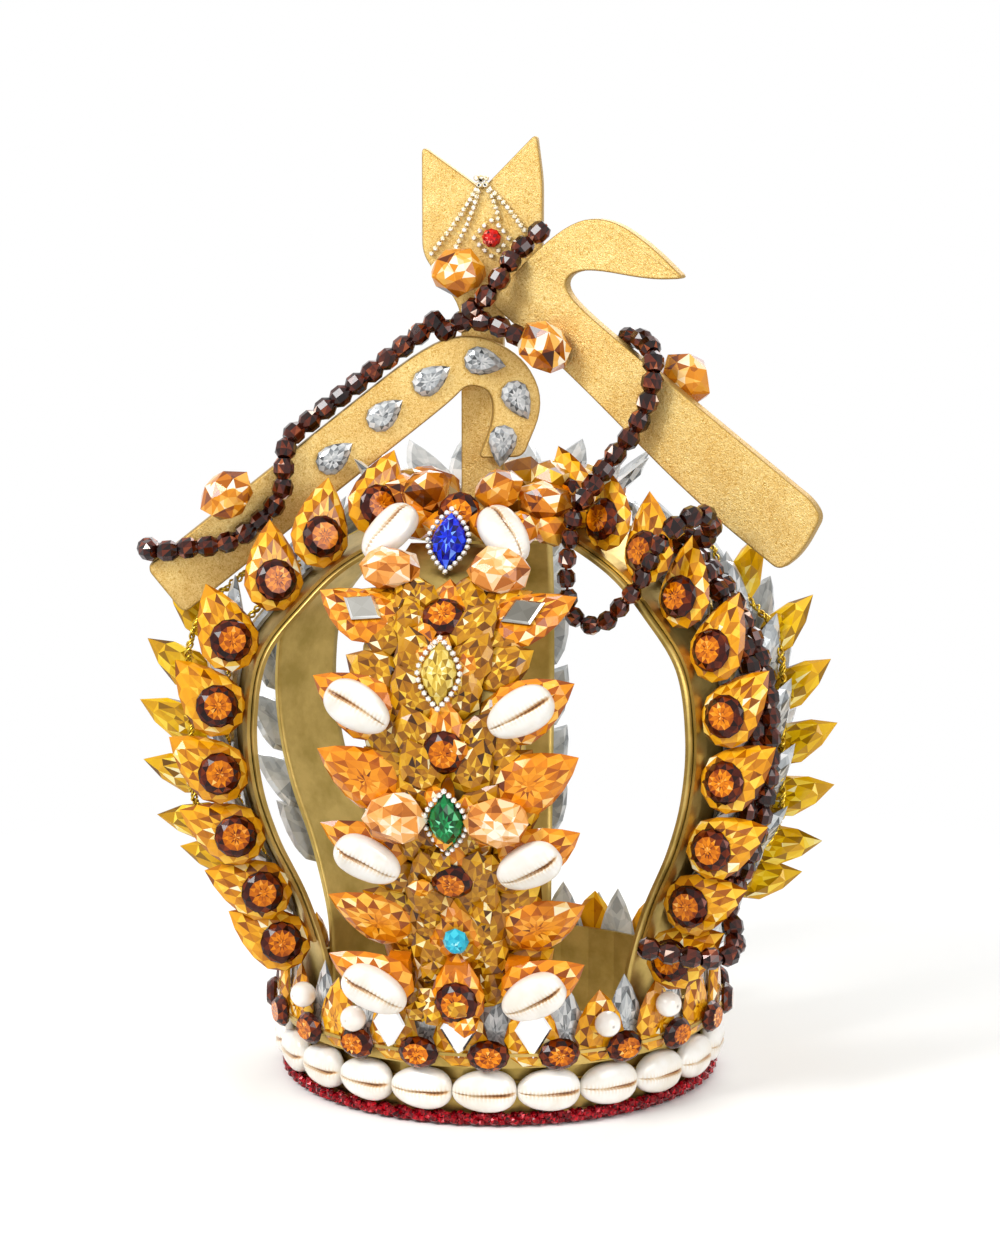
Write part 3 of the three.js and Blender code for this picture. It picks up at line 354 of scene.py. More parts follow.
# Yellow acrylic: golden, with olive facets
yellow = cut_glass("yellow_acrylic_foil_backed", (0.0, 0.22, 0.42, 0.68, 0.88, 1.0),
                   "#6A4602 #A87A04 #D8A008 #F0C210 #FFE04C #FFFACC", 0.1, 6.0)
# Peach acrylic nuggets without a foil: pale and clear
peach = cut_glass("peach_acrylic_nugget", (0.0, 0.22, 0.45, 0.7, 1.0),
                  "#84420E #BE6C22 #E2923C #F4B468 #FFF0D8", 0.4, 3.6)
# Large amber nuggets: clear orange with brown depths
nugget_amber = cut_glass("amber_acrylic_nugget", (0.0, 0.2, 0.42, 0.68, 0.86, 1.0),
                         "#381402 #7C3804 #BE6A0C #E08E1C #F8BE58 #FFF4DC", 0.4, 4.2)
# The marquise stones, the red flower stone and the turquoise: cut glass and resin, each deep in its own colour
blue = cut_glass("blue_glass_foil_backed", FIVE, "#020424 #040E6A #061CB4 #0C36EC #7AA8FF")
citrine = cut_glass("citrine_glass_foil_backed", FIVE, "#6A4A0A #B08A26 #DDBB48 #F0DC80 #FFFCE4")
green = cut_glass("green_glass_foil_backed", FIVE, "#011A0A #02421E #046E34 #0C9C50 #8CF0BC")
red = cut_glass("red_glass_foil_backed", FIVE, "#3C0204 #8C0508 #C80A0C #EC1E18 #FF9080")
turquoise = cut_glass("turquoise_resin_cut", FIVE, "#0A7A98 #189CBC #26B8D6 #46CCE0 #B4F4F8")
# Rhinestones: tiny cut crystal in silver cups
rhinestone = cut_glass("rhinestone_crystal_silver_cup", FIVE,
                       "#6E6A60 #A8A498 #D8D5C8 #F2EFE6 #FFFFFF", 0.3, 1.0, metallic=0.4, roughness=0.15)
# The same stones in the fan's gilt cups
gilt_rhinestone = cut_glass("rhinestone_crystal_gilt_cup", FIVE,
                            "#5E4410 #A8822E #DCC47C #F6EED0 #FFFFFF", 0.3, 1.0, metallic=0.4, roughness=0.15)
# Silvered mirror: a bevelled rim with a grey edge; its greys and white are a painted reflection
mirror_glass = cut_glass("mirror_glass_silvered", FIVE,
                         "#3A3732 #7E7A70 #B4B1A8 #DDDBD4 #FFFFFF", 0.06, 6.0, metallic=0.95, roughness=0.05)
# Dark smoked-topaz glass beads: nearly black, brown where light comes through
bead_glass = cut_glass("smoked_topaz_glass_bead", (0.0, 0.25, 0.45, 0.7, 0.88, 1.0),
                       "#0E0202 #260903 #3E1206 #68260E #A8562A #FFE8D8", 0.16, 2.4, roughness=0.1, gloss=0.4)
# Metallic red seed beads
seed_red = cut_glass("red_metallic_seed_bead", FIVE,
                     "#2A0004 #66000E #9E0216 #CC0E24 #FF98A0", 0.2, 1.6, metallic=0.45, roughness=0.2)


def worn_gold(name, base, worn, roughness, grain, grain_depth, cloud=14.0):
    """Gold-coloured metal: a cloudy tone, by default 14 mm across, and a fine grain in the bump."""
    material, tree, place = new_finish(name)
    clouds = add_node(tree, "TexNoise", inputs={
        "Vector": place, "Scale": per_millimetre(cloud), "Detail": 6.0, "Roughness": 0.6})
    fine = add_node(tree, "TexNoise", inputs={
        "Vector": place, "Scale": per_millimetre(grain), "Detail": 3.0})
    ramp = add_node(tree, "ValToRGB", inputs={"Fac": clouds}, stops=((0.35, 0.62), worn + " " + base))
    dull = add_node(tree, "MapRange", inputs={
        "Value": fine, "To Min": roughness - 0.08, "To Max": roughness + 0.1})
    bump = add_node(tree, "Bump", inputs={
        "Height": fine, "Strength": 0.35, "Distance": grain_depth * METRE})
    shade_with(tree, {"Metallic": 1.0, "Base Color": ramp, "Roughness": dull, "Normal": bump})
    return material


# Satin brass-coloured sheet, lacquered, olive where it is dull
gold_sheet = worn_gold("brass_sheet_satin_lacquered", "#C8AC66", "#A8904C", 0.4, 1.1, 0.1)
gold_band = worn_gold("brass_band_satin_lacquered", "#CCAE66", "#AC924C", 0.4, 1.1, 0.1)
# Polished gold-coloured wire
gold_wire = worn_gold("gilt_wire_polished", "#E4C24A", "#B08C22", 0.26, 0.8, 0.05, 3.0)


def pressed_gold_leaf():
    """Gold leaf pressed on a board over a coarse ground: winding pits 0.9 mm apart show a darker gold, and the
    rubbed edges show bronze, by the tone attribute."""
    material, tree, place = new_finish("gold_leaf_on_board_pressed")
    rim = add_node(tree, "Attribute", {"attribute_name": "tone"}).outputs["Fac"]
    pits = add_node(tree, "TexNoise", inputs={
        "Vector": place, "Scale": per_millimetre(0.9), "Detail": 4.0, "Roughness": 0.6, "Distortion": 2.0})
    crackle = add_node(tree, "TexVoronoi", {"feature": "DISTANCE_TO_EDGE"}, {
        "Vector": place, "Scale": per_millimetre(1.5)}).outputs["Distance"]
    patches = add_node(tree, "TexNoise", inputs={
        "Vector": place, "Scale": per_millimetre(11.0), "Detail": 4.0})
    leaf = add_node(tree, "ValToRGB", inputs={"Fac": pits},
                    stops=((0.32, 0.42, 0.52, 0.7), "#BC9446 #D8B66C #E8CE8C #F6E2AC"))
    tint = add_node(tree, "ValToRGB", inputs={"Fac": patches}, stops=((0.35, 0.65), "#E8CC8C #FFF6DC"))
    toned = add_node(tree, "Mix", {"data_type": "RGBA", "blend_type": "MULTIPLY"}, {
        "Factor": 0.55, "A": leaf, "B": tint})
    worn = add_node(tree, "Mix", {"data_type": "RGBA"}, {
        "Factor": rim, "A": toned, "B": colour("#9C7A36")})
    height = add_node(tree, "Math", {"operation": "MULTIPLY_ADD"}, {0: crackle, 1: 0.4, 2: pits})
    bump = add_node(tree, "Bump", inputs={"Height": height, "Strength": 0.8, "Distance": 0.25 * METRE})
    dull = add_node(tree, "MapRange", inputs={"Value": pits, "To Min": 0.55, "To Max": 0.36})
    shade_with(tree, {"Metallic": 0.75, "Base Color": worn, "Roughness": dull, "Normal": bump})
    return material


gold_leaf = pressed_gold_leaf()


def cowrie_shell():
    """A money cowrie: glossy cream-white enamel, tan along the toothed slit, with painted brown shade in the slit
    and between its teeth, and faint grey-yellow clouds.
    """
    material, tree, place = new_finish("cowrie_shell_natural_gloss")
    slit = add_node(tree, "Attribute", {"attribute_name": "tone"}).outputs["Fac"]
    clouds = add_node(tree, "TexNoise", inputs={
        "Vector": place, "Scale": per_millimetre(9.0), "Detail": 4.0})
    enamel = add_node(tree, "ValToRGB", inputs={"Fac": clouds}, stops=((0.35, 0.6), "#E6DFD2 #F3F0EA"))
    # The slit's ramp: white, then the slit's tan, then painted brown shade, deepest in the groove
    edge = add_node(tree, "ValToRGB", inputs={"Fac": slit},
                    stops=((0.0, 0.3, 0.6, 0.85, 1.0), "#FFFFFF #EBD3B0 #C68E50 #8A5420 #4A2810"))
    toned = add_node(tree, "Mix", {"data_type": "RGBA", "blend_type": "MULTIPLY"}, {
        "Factor": 1.0, "A": enamel, "B": edge})
    shade_with(tree, {
        "Base Color": toned, "Roughness": 0.28, "Coat Weight": 0.5, "Coat Roughness": 0.12,
        "Subsurface Weight": 0.08, "Subsurface Radius": (0.004, 0.003, 0.002)})
    return material


shell = cowrie_shell()


def pearl_lacquer():
    """Glass pearls: a cream lacquer with a soft sheen and a faint pink cloud."""
    material, tree, place = new_finish("glass_pearl_cream_lacquer")
    clouds = add_node(tree, "TexNoise", inputs={"Vector": place, "Scale": per_millimetre(6.0)})
    ramp = add_node(tree, "ValToRGB", inputs={"Fac": clouds}, stops=((0.35, 0.65), "#F2EBE0 #FDFAF4"))
    shade_with(tree, {"Base Color": ramp, "Roughness": 0.22, "Coat Weight": 0.8, "Coat Roughness": 0.08})
    return material


pearl = pearl_lacquer()


def cotton_thread():
    """Waxed cotton thread, rust orange, with a twist that shows as stripes. A wave's stripes lie 2 pi/20 of its
    size apart, here 1.3 mm."""
    material, tree, place = new_finish("waxed_cotton_thread")
    twist = add_node(tree, "TexWave", inputs={
        "Vector": place, "Scale": per_millimetre(4.0), "Distortion": 2.0}).outputs["Fac"]
    ramp = add_node(tree, "ValToRGB", inputs={"Fac": twist}, stops=((0.2, 0.8), "#6A2C10 #A84E1C"))
    shade_with(tree, {"Base Color": ramp, "Roughness": 0.6})
    return material


thread = cotton_thread()


# -------------------------------- making a piece

def piece(name, shape, material, replaces=None, smooth=False, body="crown"):
    """A mesh object of a shape in the crown's frame."""
    corners, faces, tone = shape
    faces = faces if isinstance(faces, list) else faces.tolist()
    mesh = bpy.data.meshes.new(name)
    mesh.from_pydata(((corners + CROWN_SHIFT) * METRE).tolist(), [], faces)
    mesh.polygons.foreach_set("use_smooth", np.broadcast_to(np.asarray(smooth, bool), len(faces)).tolist())
    if tone is not None:
        mesh.attributes.new("tone", "FLOAT", "FACE").data.foreach_set("value", np.asarray(tone, np.float32))
    mesh.materials.append(material)
    mesh.update()
    made = bpy.data.objects.new(name, mesh)
    bpy.context.scene.collection.objects.link(made)
    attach(made, body)
    if replaces:
        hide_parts(replaces)


def facing_out(corners, faces):
    """The faces, turned round together if the volume they enclose comes out negative."""
    a, b, c = (corners[faces[:, k]] for k in range(3))
    return faces if np.sum(a * np.cross(b, c)) > 0 else faces[:, ::-1]


def together(parts):
    """Several shapes as one, the faces numbered on."""
    starts = np.cumsum([0] + [len(p[0]) for p in parts])
    return (np.concatenate([p[0] for p in parts]),
            np.concatenate([p[1] + s for p, s in zip(parts, starts)]),
            np.concatenate([p[2] for p in parts]))


def copies(stone, frames, seed, jitter=0.17):
    """Every copy of a stone at once, each facet's tone moved by chance from copy to copy."""
    corners, faces, tone = stone
    chance = np.random.default_rng(seed)
    frames = frames.reshape(-1, 4, 3)
    count = len(frames)
    numbered = faces[None] + len(corners) * np.arange(count)[:, None, None]
    tones = np.clip(tone[None] + chance.normal(0, jitter, (count, len(tone))), 0, 1)
    return carried(corners, frames).reshape(-1, 3), numbered.reshape(-1, 3), tones.ravel()


def wall_faces(rings, sides):
    """Two triangles for each cell between neighbouring rings, the corners numbered on round each ring."""
    i, j = np.meshgrid(np.arange(rings - 1), np.arange(sides), indexing="ij")
    k = (j + 1) % sides
    p, q, r, s = i * sides + j, i * sides + k, (i + 1) * sides + k, (i + 1) * sides + j
    return np.concatenate([np.stack(corner, -1).reshape(-1, 3) for corner in ((p, q, r), (p, r, s))])


def fans(sides, top):
    """Triangles that close a last ring, which starts at corner number top, and the first ring, about the two
    corners after them: a middle and a foot."""
    step = np.arange(sides)
    after = (step + 1) % sides
    middle = np.full(sides, top + sides)
    return [np.stack([top + step, top + after, middle], -1), np.stack([after, step, middle + 1], -1)]


def faceted(rings, ends, tones, ahead):
    """A stack of rings joined by two families of triangles and closed by fans about its two ends. Where ahead is
    true, the cells are split to suit a ring turned on by half a step from the one below it. Tones are given for each
    family, bottom up, then for the upper and the lower fan."""
    sides = len(rings[0])
    step = np.arange(sides)
    faces = []
    for k, turned_on in enumerate(ahead):
        a, b = k * sides + step, k * sides + (step + 1) % sides
        c, d = a + sides, b + sides
        faces += [np.stack(t, -1) for t in (((a, b, c), (c, b, d)) if turned_on else ((a, b, d), (a, d, c)))]
    faces = np.concatenate(faces + fans(sides, (len(rings) - 1) * sides))
    corners = np.concatenate([*rings, ends])
    return corners, facing_out(corners, faces), np.concatenate([np.broadcast_to(tone, sides) for tone in tones])


# -------------------------------- cut stones

def round_line(line, share):
    """Points at shares of the length of a closed outline, from its first point on."""
    closed = np.concatenate([line, line[:1]])
    run = run_lengths(closed)
    place = np.mod(share, 1) * run[-1]
    return np.stack([np.interp(place, run, closed[:, k]) for k in (0, 1)], -1)


def drop_line(length, width):
    """A teardrop from its tip: a circle arc below, and on each side a curve that leaves the arc along its tangent
    and ends at the tip."""
    r = width / 2
    start = math.radians(12)
    a = np.linspace(start, -math.pi - start, 60)
    arc = np.stack([r * np.cos(a), r + r * np.sin(a)], -1)
    tip = np.array([0, length])
    lead = arc[0] + np.array([-math.sin(start), math.cos(start)]) * 0.58 * (length - arc[0, 1])
    s = np.linspace(0, 1, 20)[1:-1, None]
    side = (1 - s) ** 2 * arc[0] + 2 * s * (1 - s) * lead + s**2 * tip
    return np.concatenate([[tip], side[::-1], arc, side * [-1, 1]])


def lens_line(length, width):
    """A marquise from its upper tip: the half width is width/2 (1 - |2s - 1|^1.7) at a share s of the length."""
    s = np.linspace(1, 0, 40)
    right = np.stack([width / 2 * (1 - np.abs(2 * s - 1) ** 1.7), s * length], -1)
    return np.concatenate([right, right[-2:0:-1] * [-1, 1]])


def oval_line(length, width):
    """An ellipse from its upper end."""
    a = TURN * np.arange(72) / 72
    return np.stack([width / 2 * np.sin(a), length / 2 * (1 + np.cos(a))], -1)


def rhombus_line(length, width):
    """A rhombus from its upper corner."""
    return np.array([[0, length], [width / 2, length / 2], [0, 0], [-width / 2, length / 2]])


# Rings of a cut stone from its back to its table: height share, scale share and turn in steps. A ring turned by
# half a step from its neighbour makes triangular facets between them. The rings of the flat table only part the
# facets that show through it, painted there as reflections.
GEM_RINGS = [(0, 0.84, 0), (0.28, 1, 0), (0.62, 0.88, 0.5), (1, 0.64, 1), (1, 0.4, 1.5), (1, 0.17, 2)]
# Tones of the two families of facets in each band between rings, then of the table's middle: painted shade where
# low, painted light where high
GEM_TONES = [(0.6, 0.6), (0.26, 0.64), (0.72, 0.28), (0.36, 0.72), (0.66, 0.34), (0.62, 0.4)]
# A stone with a painted dark shade on its rim and painted bright light in its table
DEEP_TONES = [(0.1, 0.1), (0.05, 0.24), (0.18, 0.04), (0.52, 0.72), (0.68, 0.5), (0.74, 0.58)]
SMALL = ([(0, 0.84, 0), (0.28, 1, 0), (0.66, 0.84, 0.5), (1, 0.58, 1), (1, 0.28, 1.5)],
         [(0.5, 0.5), (0.3, 0.6), (0.66, 0.3), (0.4, 0.7), (0.6, 0.4)])
# The back's tone: a painted light grey, so that a stone seen from behind looks lit
BACK_TONE = 0.55


def cut_stone(outline, size, sides, rings=GEM_RINGS, tones=GEM_TONES):
    """A faceted stone. Each ring is the outline shrunk about a centre on its length, at its own height; the back
    and the table are closed by fans. The tone of each facet follows its band."""
    length, _, thickness = size
    line = outline(*size[:2])
    centre = np.array([0, length * (0.4 if outline is drop_line else 0.5)])
    step = np.arange(sides)
    turns = [turn for _, _, turn in rings]
    layers = [np.column_stack([centre + scale * (round_line(line, (step + turn) / sides) - centre),
                               np.full(sides, height * thickness)]) for height, scale, turn in rings]
    shades = [shade for pair in tones[:len(rings) - 1] for shade in pair]
    return faceted(layers, [[*centre, thickness], [*centre, 0]],
                   [*shades, np.where(step % 2, *tones[-1]), BACK_TONE], [b > a for a, b in zip(turns, turns[1:])])


drop_stone = cut_stone(drop_line, DROP, 13)
leaf_stone = cut_stone(drop_line, LEAF, 12)
front_leaf_stone = cut_stone(drop_line, FRONT_LEAF, 13)
centre_drop_stone = cut_stone(drop_line, CENTRE_DROP, 12)
petal_stone = cut_stone(drop_line, PETAL, 11)
clear_petal_stone = cut_stone(drop_line, CLEAR_PETAL, 11)
crook_stone = cut_stone(drop_line, CROOK_STONE, 12, *SMALL)
round_stone = cut_stone(oval_line, ROUND, 12, tones=DEEP_TONES)
oval_stone = cut_stone(oval_line, OVAL, 12, tones=DEEP_TONES)
spike_stone = cut_stone(lens_line, SPIKE, 8, *SMALL)
marquise_stone = cut_stone(lens_line, MARQUISE, 12, *SMALL)
turquoise_stone = cut_stone(oval_line, TURQUOISE, 8, *SMALL)
flower_stone = cut_stone(oval_line, FLOWER, 9, *SMALL)
under_petal = cut_stone(drop_line, (20, 15, 3.0), 9, *SMALL)
# Mirror tones are a painted reflection; the petals' mirrors are given brighter ones
mirror_stone = cut_stone(rhombus_line, MIRROR, 4, [(0, 0.97, 0), (0.6, 1, 0), (1, 0.84, 0)],
                         [(0.3, 0.3), (0.75, 0.9), (0.62, 0.6)])
petal_mirror = cut_stone(rhombus_line, PETAL_MIRROR, 4, [(0, 0.97, 0), (0.6, 1, 0), (1, 0.86, 0)],
                         [(0.5, 0.5), (0.9, 0.95), (0.97, 0.97)])
tiny_stone = cut_stone(oval_line, RHINESTONE, 6, [(0, 0.8, 0), (0.5, 1, 0), (1, 0.6, 0.5)],
                       [(0.3, 0.3), (0.5, 0.85), (0.95, 0.8)])
chip_stone = cut_stone(oval_line, (9.5, 7.5, 3.4), 6, [(0, 0.7, 0), (0.4, 1, 0.5), (1, 0.55, 1)],
                       [(0.3, 0.5), (0.75, 0.35), (0.8, 0.5)])


def rough_nugget(size, seed, sides=7):
    """A tumbled, cut nugget: five rings of an ellipse, each corner moved inwards by up to a third by chance, and
    neighbouring rings half a step apart. Its box runs from y = 0 to the length and z = 0 to the thickness."""
    length, width, thickness = size
    chance = np.random.default_rng(seed)
    rings = []
    for k, (height, scale) in enumerate([(0, 0.5), (0.2, 0.9), (0.55, 1), (0.86, 0.84), (1, 0.42)]):
        a = TURN * (np.arange(sides) + 0.5 * k) / sides
        reach = scale * (1 - (0.12 if scale == 1 else 0.34) * chance.random(sides))
        z = thickness * np.clip(height + 0.16 * (chance.random(sides) - 0.5), 0, 1)
        rings.append(np.stack([width / 2 * reach * np.cos(a), length / 2 * (1 + reach * np.sin(a)), z], -1))
    # Facet tones are painted light and shade drawn by chance: the top fan gets painted light, the back fan painted
    # shade
    tones = []
    for _ in rings[1:]:
        tones += [0.05 + 0.75 * chance.random(sides), 0.2 + 0.8 * chance.random(sides)]
    tones += [0.5 + 0.5 * chance.random(sides), 0.3 * chance.random(sides)]
    return faceted(rings, [[0, length / 2, thickness], [0, length / 2, 0]], tones, [True] * 4)


# -------------------------------- cowries, beads, tubes

def cowrie_body(size, along_steps=76, round_steps=40):
    """A cowrie, its slit up. Rings round the length: the half width follows a narrowing egg, (1 - t^2)^0.5 with
    one blunt end; the underside is flat. The slit is a groove on top, a little curved, and its teeth are ribs
    across it, cos of 17 waves along the length, that fade at the ends and away from the slit."""
    length, width, thickness = size
    t = np.cos(np.linspace(0, math.pi, along_steps))[:, None]
    q = np.linspace(-1, 1, round_steps, endpoint=False)[None, :]
    a = math.pi / 2 + math.pi * (0.3 * q + 0.7 * q**3)
    side, height = np.cos(a), np.sin(a)
    plump = np.sqrt(np.maximum(1 - t**2, 0)) ** 0.86 * (1 + 0.12 * t)
    x = width / 2 * plump * np.sign(side) * np.abs(side) ** 0.88 / 1.06
    low = 0.42
    rise = np.where(height > 0, (1 - low) * np.abs(height) ** 0.8, -low * np.abs(height) ** 0.5)
    z = thickness * (low + rise * np.minimum(plump * 1.15, 1))
    away = np.abs(x - 0.05 * width * (1 - t**2)) / width
    fade = np.clip(1 - np.abs(t) ** 6, 0, 1) * (height > 0.25)
    gape = 0.012 + 0.022 * smoothstep(t, -0.6, 0.7)
    groove = np.exp(-((away / gape) ** 2)) * fade
    teeth = np.cos(17 * math.pi * t) * np.exp(-((away / (gape + 0.075)) ** 2)) * fade
    z = z - thickness * (0.22 * groove - 0.03 * teeth * (1 - groove))
    corners = np.stack([x, length / 2 * (1 + t) + 0 * x, z], -1).reshape(-1, 3)
    # Darker along the slit: partly the slit's own tan, partly painted shade in the groove, deepest at its wide end,
    # and between the teeth
    slit_tan_and_shade = np.clip(groove * (0.55 + 0.45 * smoothstep(t, -0.4, 0.6)) + 0.34 * np.clip(-teeth, 0, 1), 0, 1)
    faces = wall_faces(along_steps, round_steps)
    return corners, facing_out(corners, faces), slit_tan_and_shade.reshape(-1)[faces].mean(1)


big_cowrie = cowrie_body(COWRIE)
small_cowrie = cowrie_body(BASE_COWRIE)

# Rings of a bead as shares of its diameter: height, radius and turn in steps
BEAD_RINGS = [(-0.46, 0.3, 0), (-0.2, 0.49, 0.5), (0.2, 0.49, 0.5), (0.46, 0.3, 1)]


def cut_bead(diameter, sides=10):
    """A faceted rondelle about its thread, the z axis: a belt of flat faces, triangles above and below it, and
    fans round the two holes."""
    rings = []
    for height, radius, turn in BEAD_RINGS:
        a = TURN * (np.arange(sides) + turn) / sides
        rings.append(diameter * np.stack([radius * np.cos(a), radius * np.sin(a), np.full(sides, height)], -1))
    ends = [[0, 0, BEAD_RINGS[-1][0] * diameter], [0, 0, BEAD_RINGS[0][0] * diameter]]
    # The facets' tones place them on the bead's ramp of painted shade and light, darkest on the fans round the holes
    return faceted(rings, ends, [0.3, 0.45] * 3 + [0.2, 0.2], [True] * 3)


bead = cut_bead(BEAD)
loop_bead = cut_bead(LOOP_BEAD)
seed_bead = cut_bead(SEED_BEAD, 6)


def tube(path, radius, sides):
    """A round tube along a fine path, closed by fans: rings of radius (cos a, sin a) square to the path."""
    one, two = side_of(unit(np.gradient(path, axis=0)))
    a = (TURN * np.arange(sides) / sides)[None, :, None]
    rings = path[:, None] + radius * swung(one[:, None], two[:, None], a)
    corners = np.concatenate([rings.reshape(-1, 3), path[-1:], path[:1]])
    faces = np.concatenate([wall_faces(len(path), sides), *fans(sides, (len(path) - 1) * sides)])
    return corners, facing_out(corners, faces), None


def bead_strand(name, places, seed, replaces=None, body="crown", stone=bead):
    """Beads at equal shares of a route, each turned by chance about the thread, and the thread through them."""
    curve = route_curve(places)
    count = round(run_lengths(curve)[-1] / BEAD_PITCH)
    spots, run = along_curve(curve, (np.arange(count) + 0.5) / count)
    across = swung(*side_of(run), np.random.default_rng(seed).uniform(0, TURN, (count, 1)))
    frames = np.stack([across, np.cross(run, across), run, spots], -2)
    piece(name, copies(stone, frames, seed, 0.22), bead_glass, replaces, body=body)
    line, _ = along_curve(curve, np.linspace(0, 1, 6 * count))
    piece(name + "_thread", tube(line, 0.5, 6), thread, smooth=True, body=body)


# -------------------------------- band and the rows round it

ROW_SEGMENTS = 40
ROW_GAP = CLEARANCE + 2 * BAND_RADIUS * (1 - math.cos(math.pi / ROW_SEGMENTS))
BACK_ROW = BAND_RADIUS + ROW_GAP
AMBER_ROW = BACK_ROW + CLEAR_PETAL[2] + ROW_GAP
OVAL_ROW = AMBER_ROW + PETAL[2] + ROW_GAP
TRIM_HEIGHT = 4.2
TRIM_DEPTH = 3.8
COWRIE_Z = TRIM_HEIGHT + CLEARANCE + BASE_COWRIE[1] / 2
PETAL_FOOT = COWRIE_Z + BASE_COWRIE[1] / 2 + CLEARANCE
OVAL_Z = PETAL_FOOT + OVAL[1] / 2


def band_frames(count, phase, radius, z, lying=0.0):
    """Frames round the band at azimuths TURN (i + phase) / count, facing out. They stand, or lie about their
    middles where a length is given."""
    a = TURN * (np.arange(count) + phase) / count
    out = ring_out(a)
    along = ring_out(a + TURN / 4) if lying else UP
    return stone_frames(out * radius + UP * z - along * lying / 2, along, out)


def hoop(radius, z, height, thickness, segments=120):
    """A plain hoop round the axis, its section a rectangle."""
    a = TURN * np.arange(segments) / segments
    section = [radius, z] + np.array([[0, 0], [1, 0], [1, 1], [0, 1]]) * [thickness, height]
    corners = (ring_out(a)[:, None] * section[:, :1] + UP * section[:, 1:]).reshape(-1, 3)
    faces = wall_faces(segments + 1, 4) % len(corners)
    return corners, facing_out(corners, faces), np.full(len(faces), 0.3)


def band_row(name, stone, material, frames, seed, node, tape_radius, tape_z, tape_height=TAPE, jitter=0.13,
             smooth=False):
    """A row of stones round the band, and the gilt tape behind them."""
    piece(name, copies(stone, frames, seed, jitter), material, node, smooth=smooth)
    piece(name + "_tape", hoop(tape_radius, tape_z, tape_height, TAPE_THICK), gold_band)


band_row("cowrie_ring", small_cowrie, shell, band_frames(22, 0.37, BACK_ROW, COWRIE_Z, BASE_COWRIE[0]), 3,
         "base_cowries", BACK_ROW, COWRIE_Z - TAPE / 2, jitter=0.0, smooth=True)
band_row("clear_petal_ring", clear_petal_stone, clear, band_frames(20, 0.5, BACK_ROW, PETAL_FOOT), 5,
         "base_clear_petals", BACK_ROW, PETAL_FOOT)
band_row("amber_petal_ring", petal_stone, amber, band_frames(20, 0, AMBER_ROW, PETAL_FOOT), 6,
         "base_amber_petals", AMBER_ROW, PETAL_FOOT)
band_row("oval_gem_ring", oval_stone, topaz, band_frames(21, 0.42, OVAL_ROW, OVAL_Z, OVAL[0]), 7,
         "base_oval_gems", OVAL_ROW, OVAL_Z - 0.5, 1.0)


def seed_bead_braid(count=210):
    """Two plaited rows of seed beads on a cord: bead i lies at azimuth i/count, its height and depth swing with
    cos and sin of a sixth of a turn per bead, so the rows cross as a braid does."""
    i = np.arange(count)
    parts = []
    for lag in (0.0, math.pi):
        swing = TURN * i / 6 + lag
        radius = BACK_ROW + TRIM_DEPTH / 2 + 0.5 + 1.1 * np.sin(swing)
        spots = ring_out(TURN * i / count) * radius[:, None] + UP * (2.55 + 0.95 * np.cos(swing))[:, None]
        run = unit(np.gradient(spots, axis=0))
        parts.append(copies(seed_bead, np.stack([*side_of(run), run, spots], -2), 11, 0.2))
    return together(parts + [hoop(BACK_ROW, 0.2, TRIM_HEIGHT - 0.6, TRIM_DEPTH / 2)])


piece("red_braid", seed_bead_braid(), seed_red, "red_bead_trim")


# -------------------------------- strips

def bent_strip(end, half_width, drift, azimuth, along_steps=90, across_steps=14):
    """A bent strip of sheet: the outer face is strip_point(share, u, 0), the inner face the same 1.2 mm further
    in, joined along the two sides and the two ends. Also says which faces are broad and so smooth."""
    share = np.linspace(0, end, along_steps)[:, None]
    u = np.linspace(-1, 1, across_steps) * half_width(share)
    corners = np.concatenate([strip_point(share, u, h, drift).reshape(-1, 3) for h in (0.0, -SHEET)])
    n = along_steps * across_steps
    i, j = np.meshgrid(np.arange(along_steps - 1), np.arange(across_steps - 1), indexing="ij")
    a = (i * across_steps + j).ravel()
    b, c, d = a + 1, a + across_steps + 1, a + across_steps
    left = np.arange(along_steps - 1) * across_steps
    right, foot = left + across_steps - 1, np.arange(across_steps - 1)
    head = foot + (along_steps - 1) * across_steps
    quads = [(a, b, c, d), (a + n, d + n, c + n, b + n)]
    quads += [(p, q, q + n, p + n) for p, q in ((left, left + across_steps), (right + across_steps, right))]
    quads += [(p, p + n, q + n, q) for p, q in ((foot, foot + 1), (head + 1, head))]
    faces = np.concatenate([np.stack(quad, -1) for quad in quads])
    return (turned(corners, azimuth), faces, None), np.arange(len(faces)) < 2 * len(a)


def front_half(share):
    """Half the front strip's width: constant, then narrowing evenly to its end."""
    narrowing = np.maximum((share - TAPER_START) / (FRONT_END - TAPER_START), 0)
    return (FRONT_WIDTH + (FRONT_TOP_WIDTH - FRONT_WIDTH) * narrowing) / 2


def side_half(share):
    """Half the width of the other strips."""
    return STRIP_WIDTH / 2 + 0 * share


STRIPS = {"front": 0, "front_right": 60, "back_right": 120, "back": 187, "back_left": 240, "front_left": 300}
SIDES = (("right", STRIPS["front_right"], 1), ("left", STRIPS["front_left"], -1))
for name, azimuth in STRIPS.items():
    build = (FRONT_END, front_half, FRONT_DRIFT) if name == "front" else (SIDE_END, side_half, 0.0)
    shape, smooth = bent_strip(*build, azimuth)
    piece("bent_strip_" + name, shape, gold_sheet, name + "_strip", smooth=smooth)
for node_name, material in (("base_ring", gold_band), ("top_plate", gold_sheet)):
    for material_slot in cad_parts[node_name].material_slots:
        material_slot.material = material


# -------------------------------- rows on the side and back strips

LEAN = math.radians(20)
DROP_RISE = math.radians(45)
SPIKE_RISE = math.radians(56)
DROP_EDGE = 10.0
DROP_SHARES = {"right": np.array([0.23, 0.33, 0.421, 0.513, 0.598, 0.675, 0.751, 0.83, 0.904, 0.965]),
               "left": np.array([0.23, 0.322, 0.413, 0.5, 0.589, 0.67, 0.762, 0.844, 0.93])}


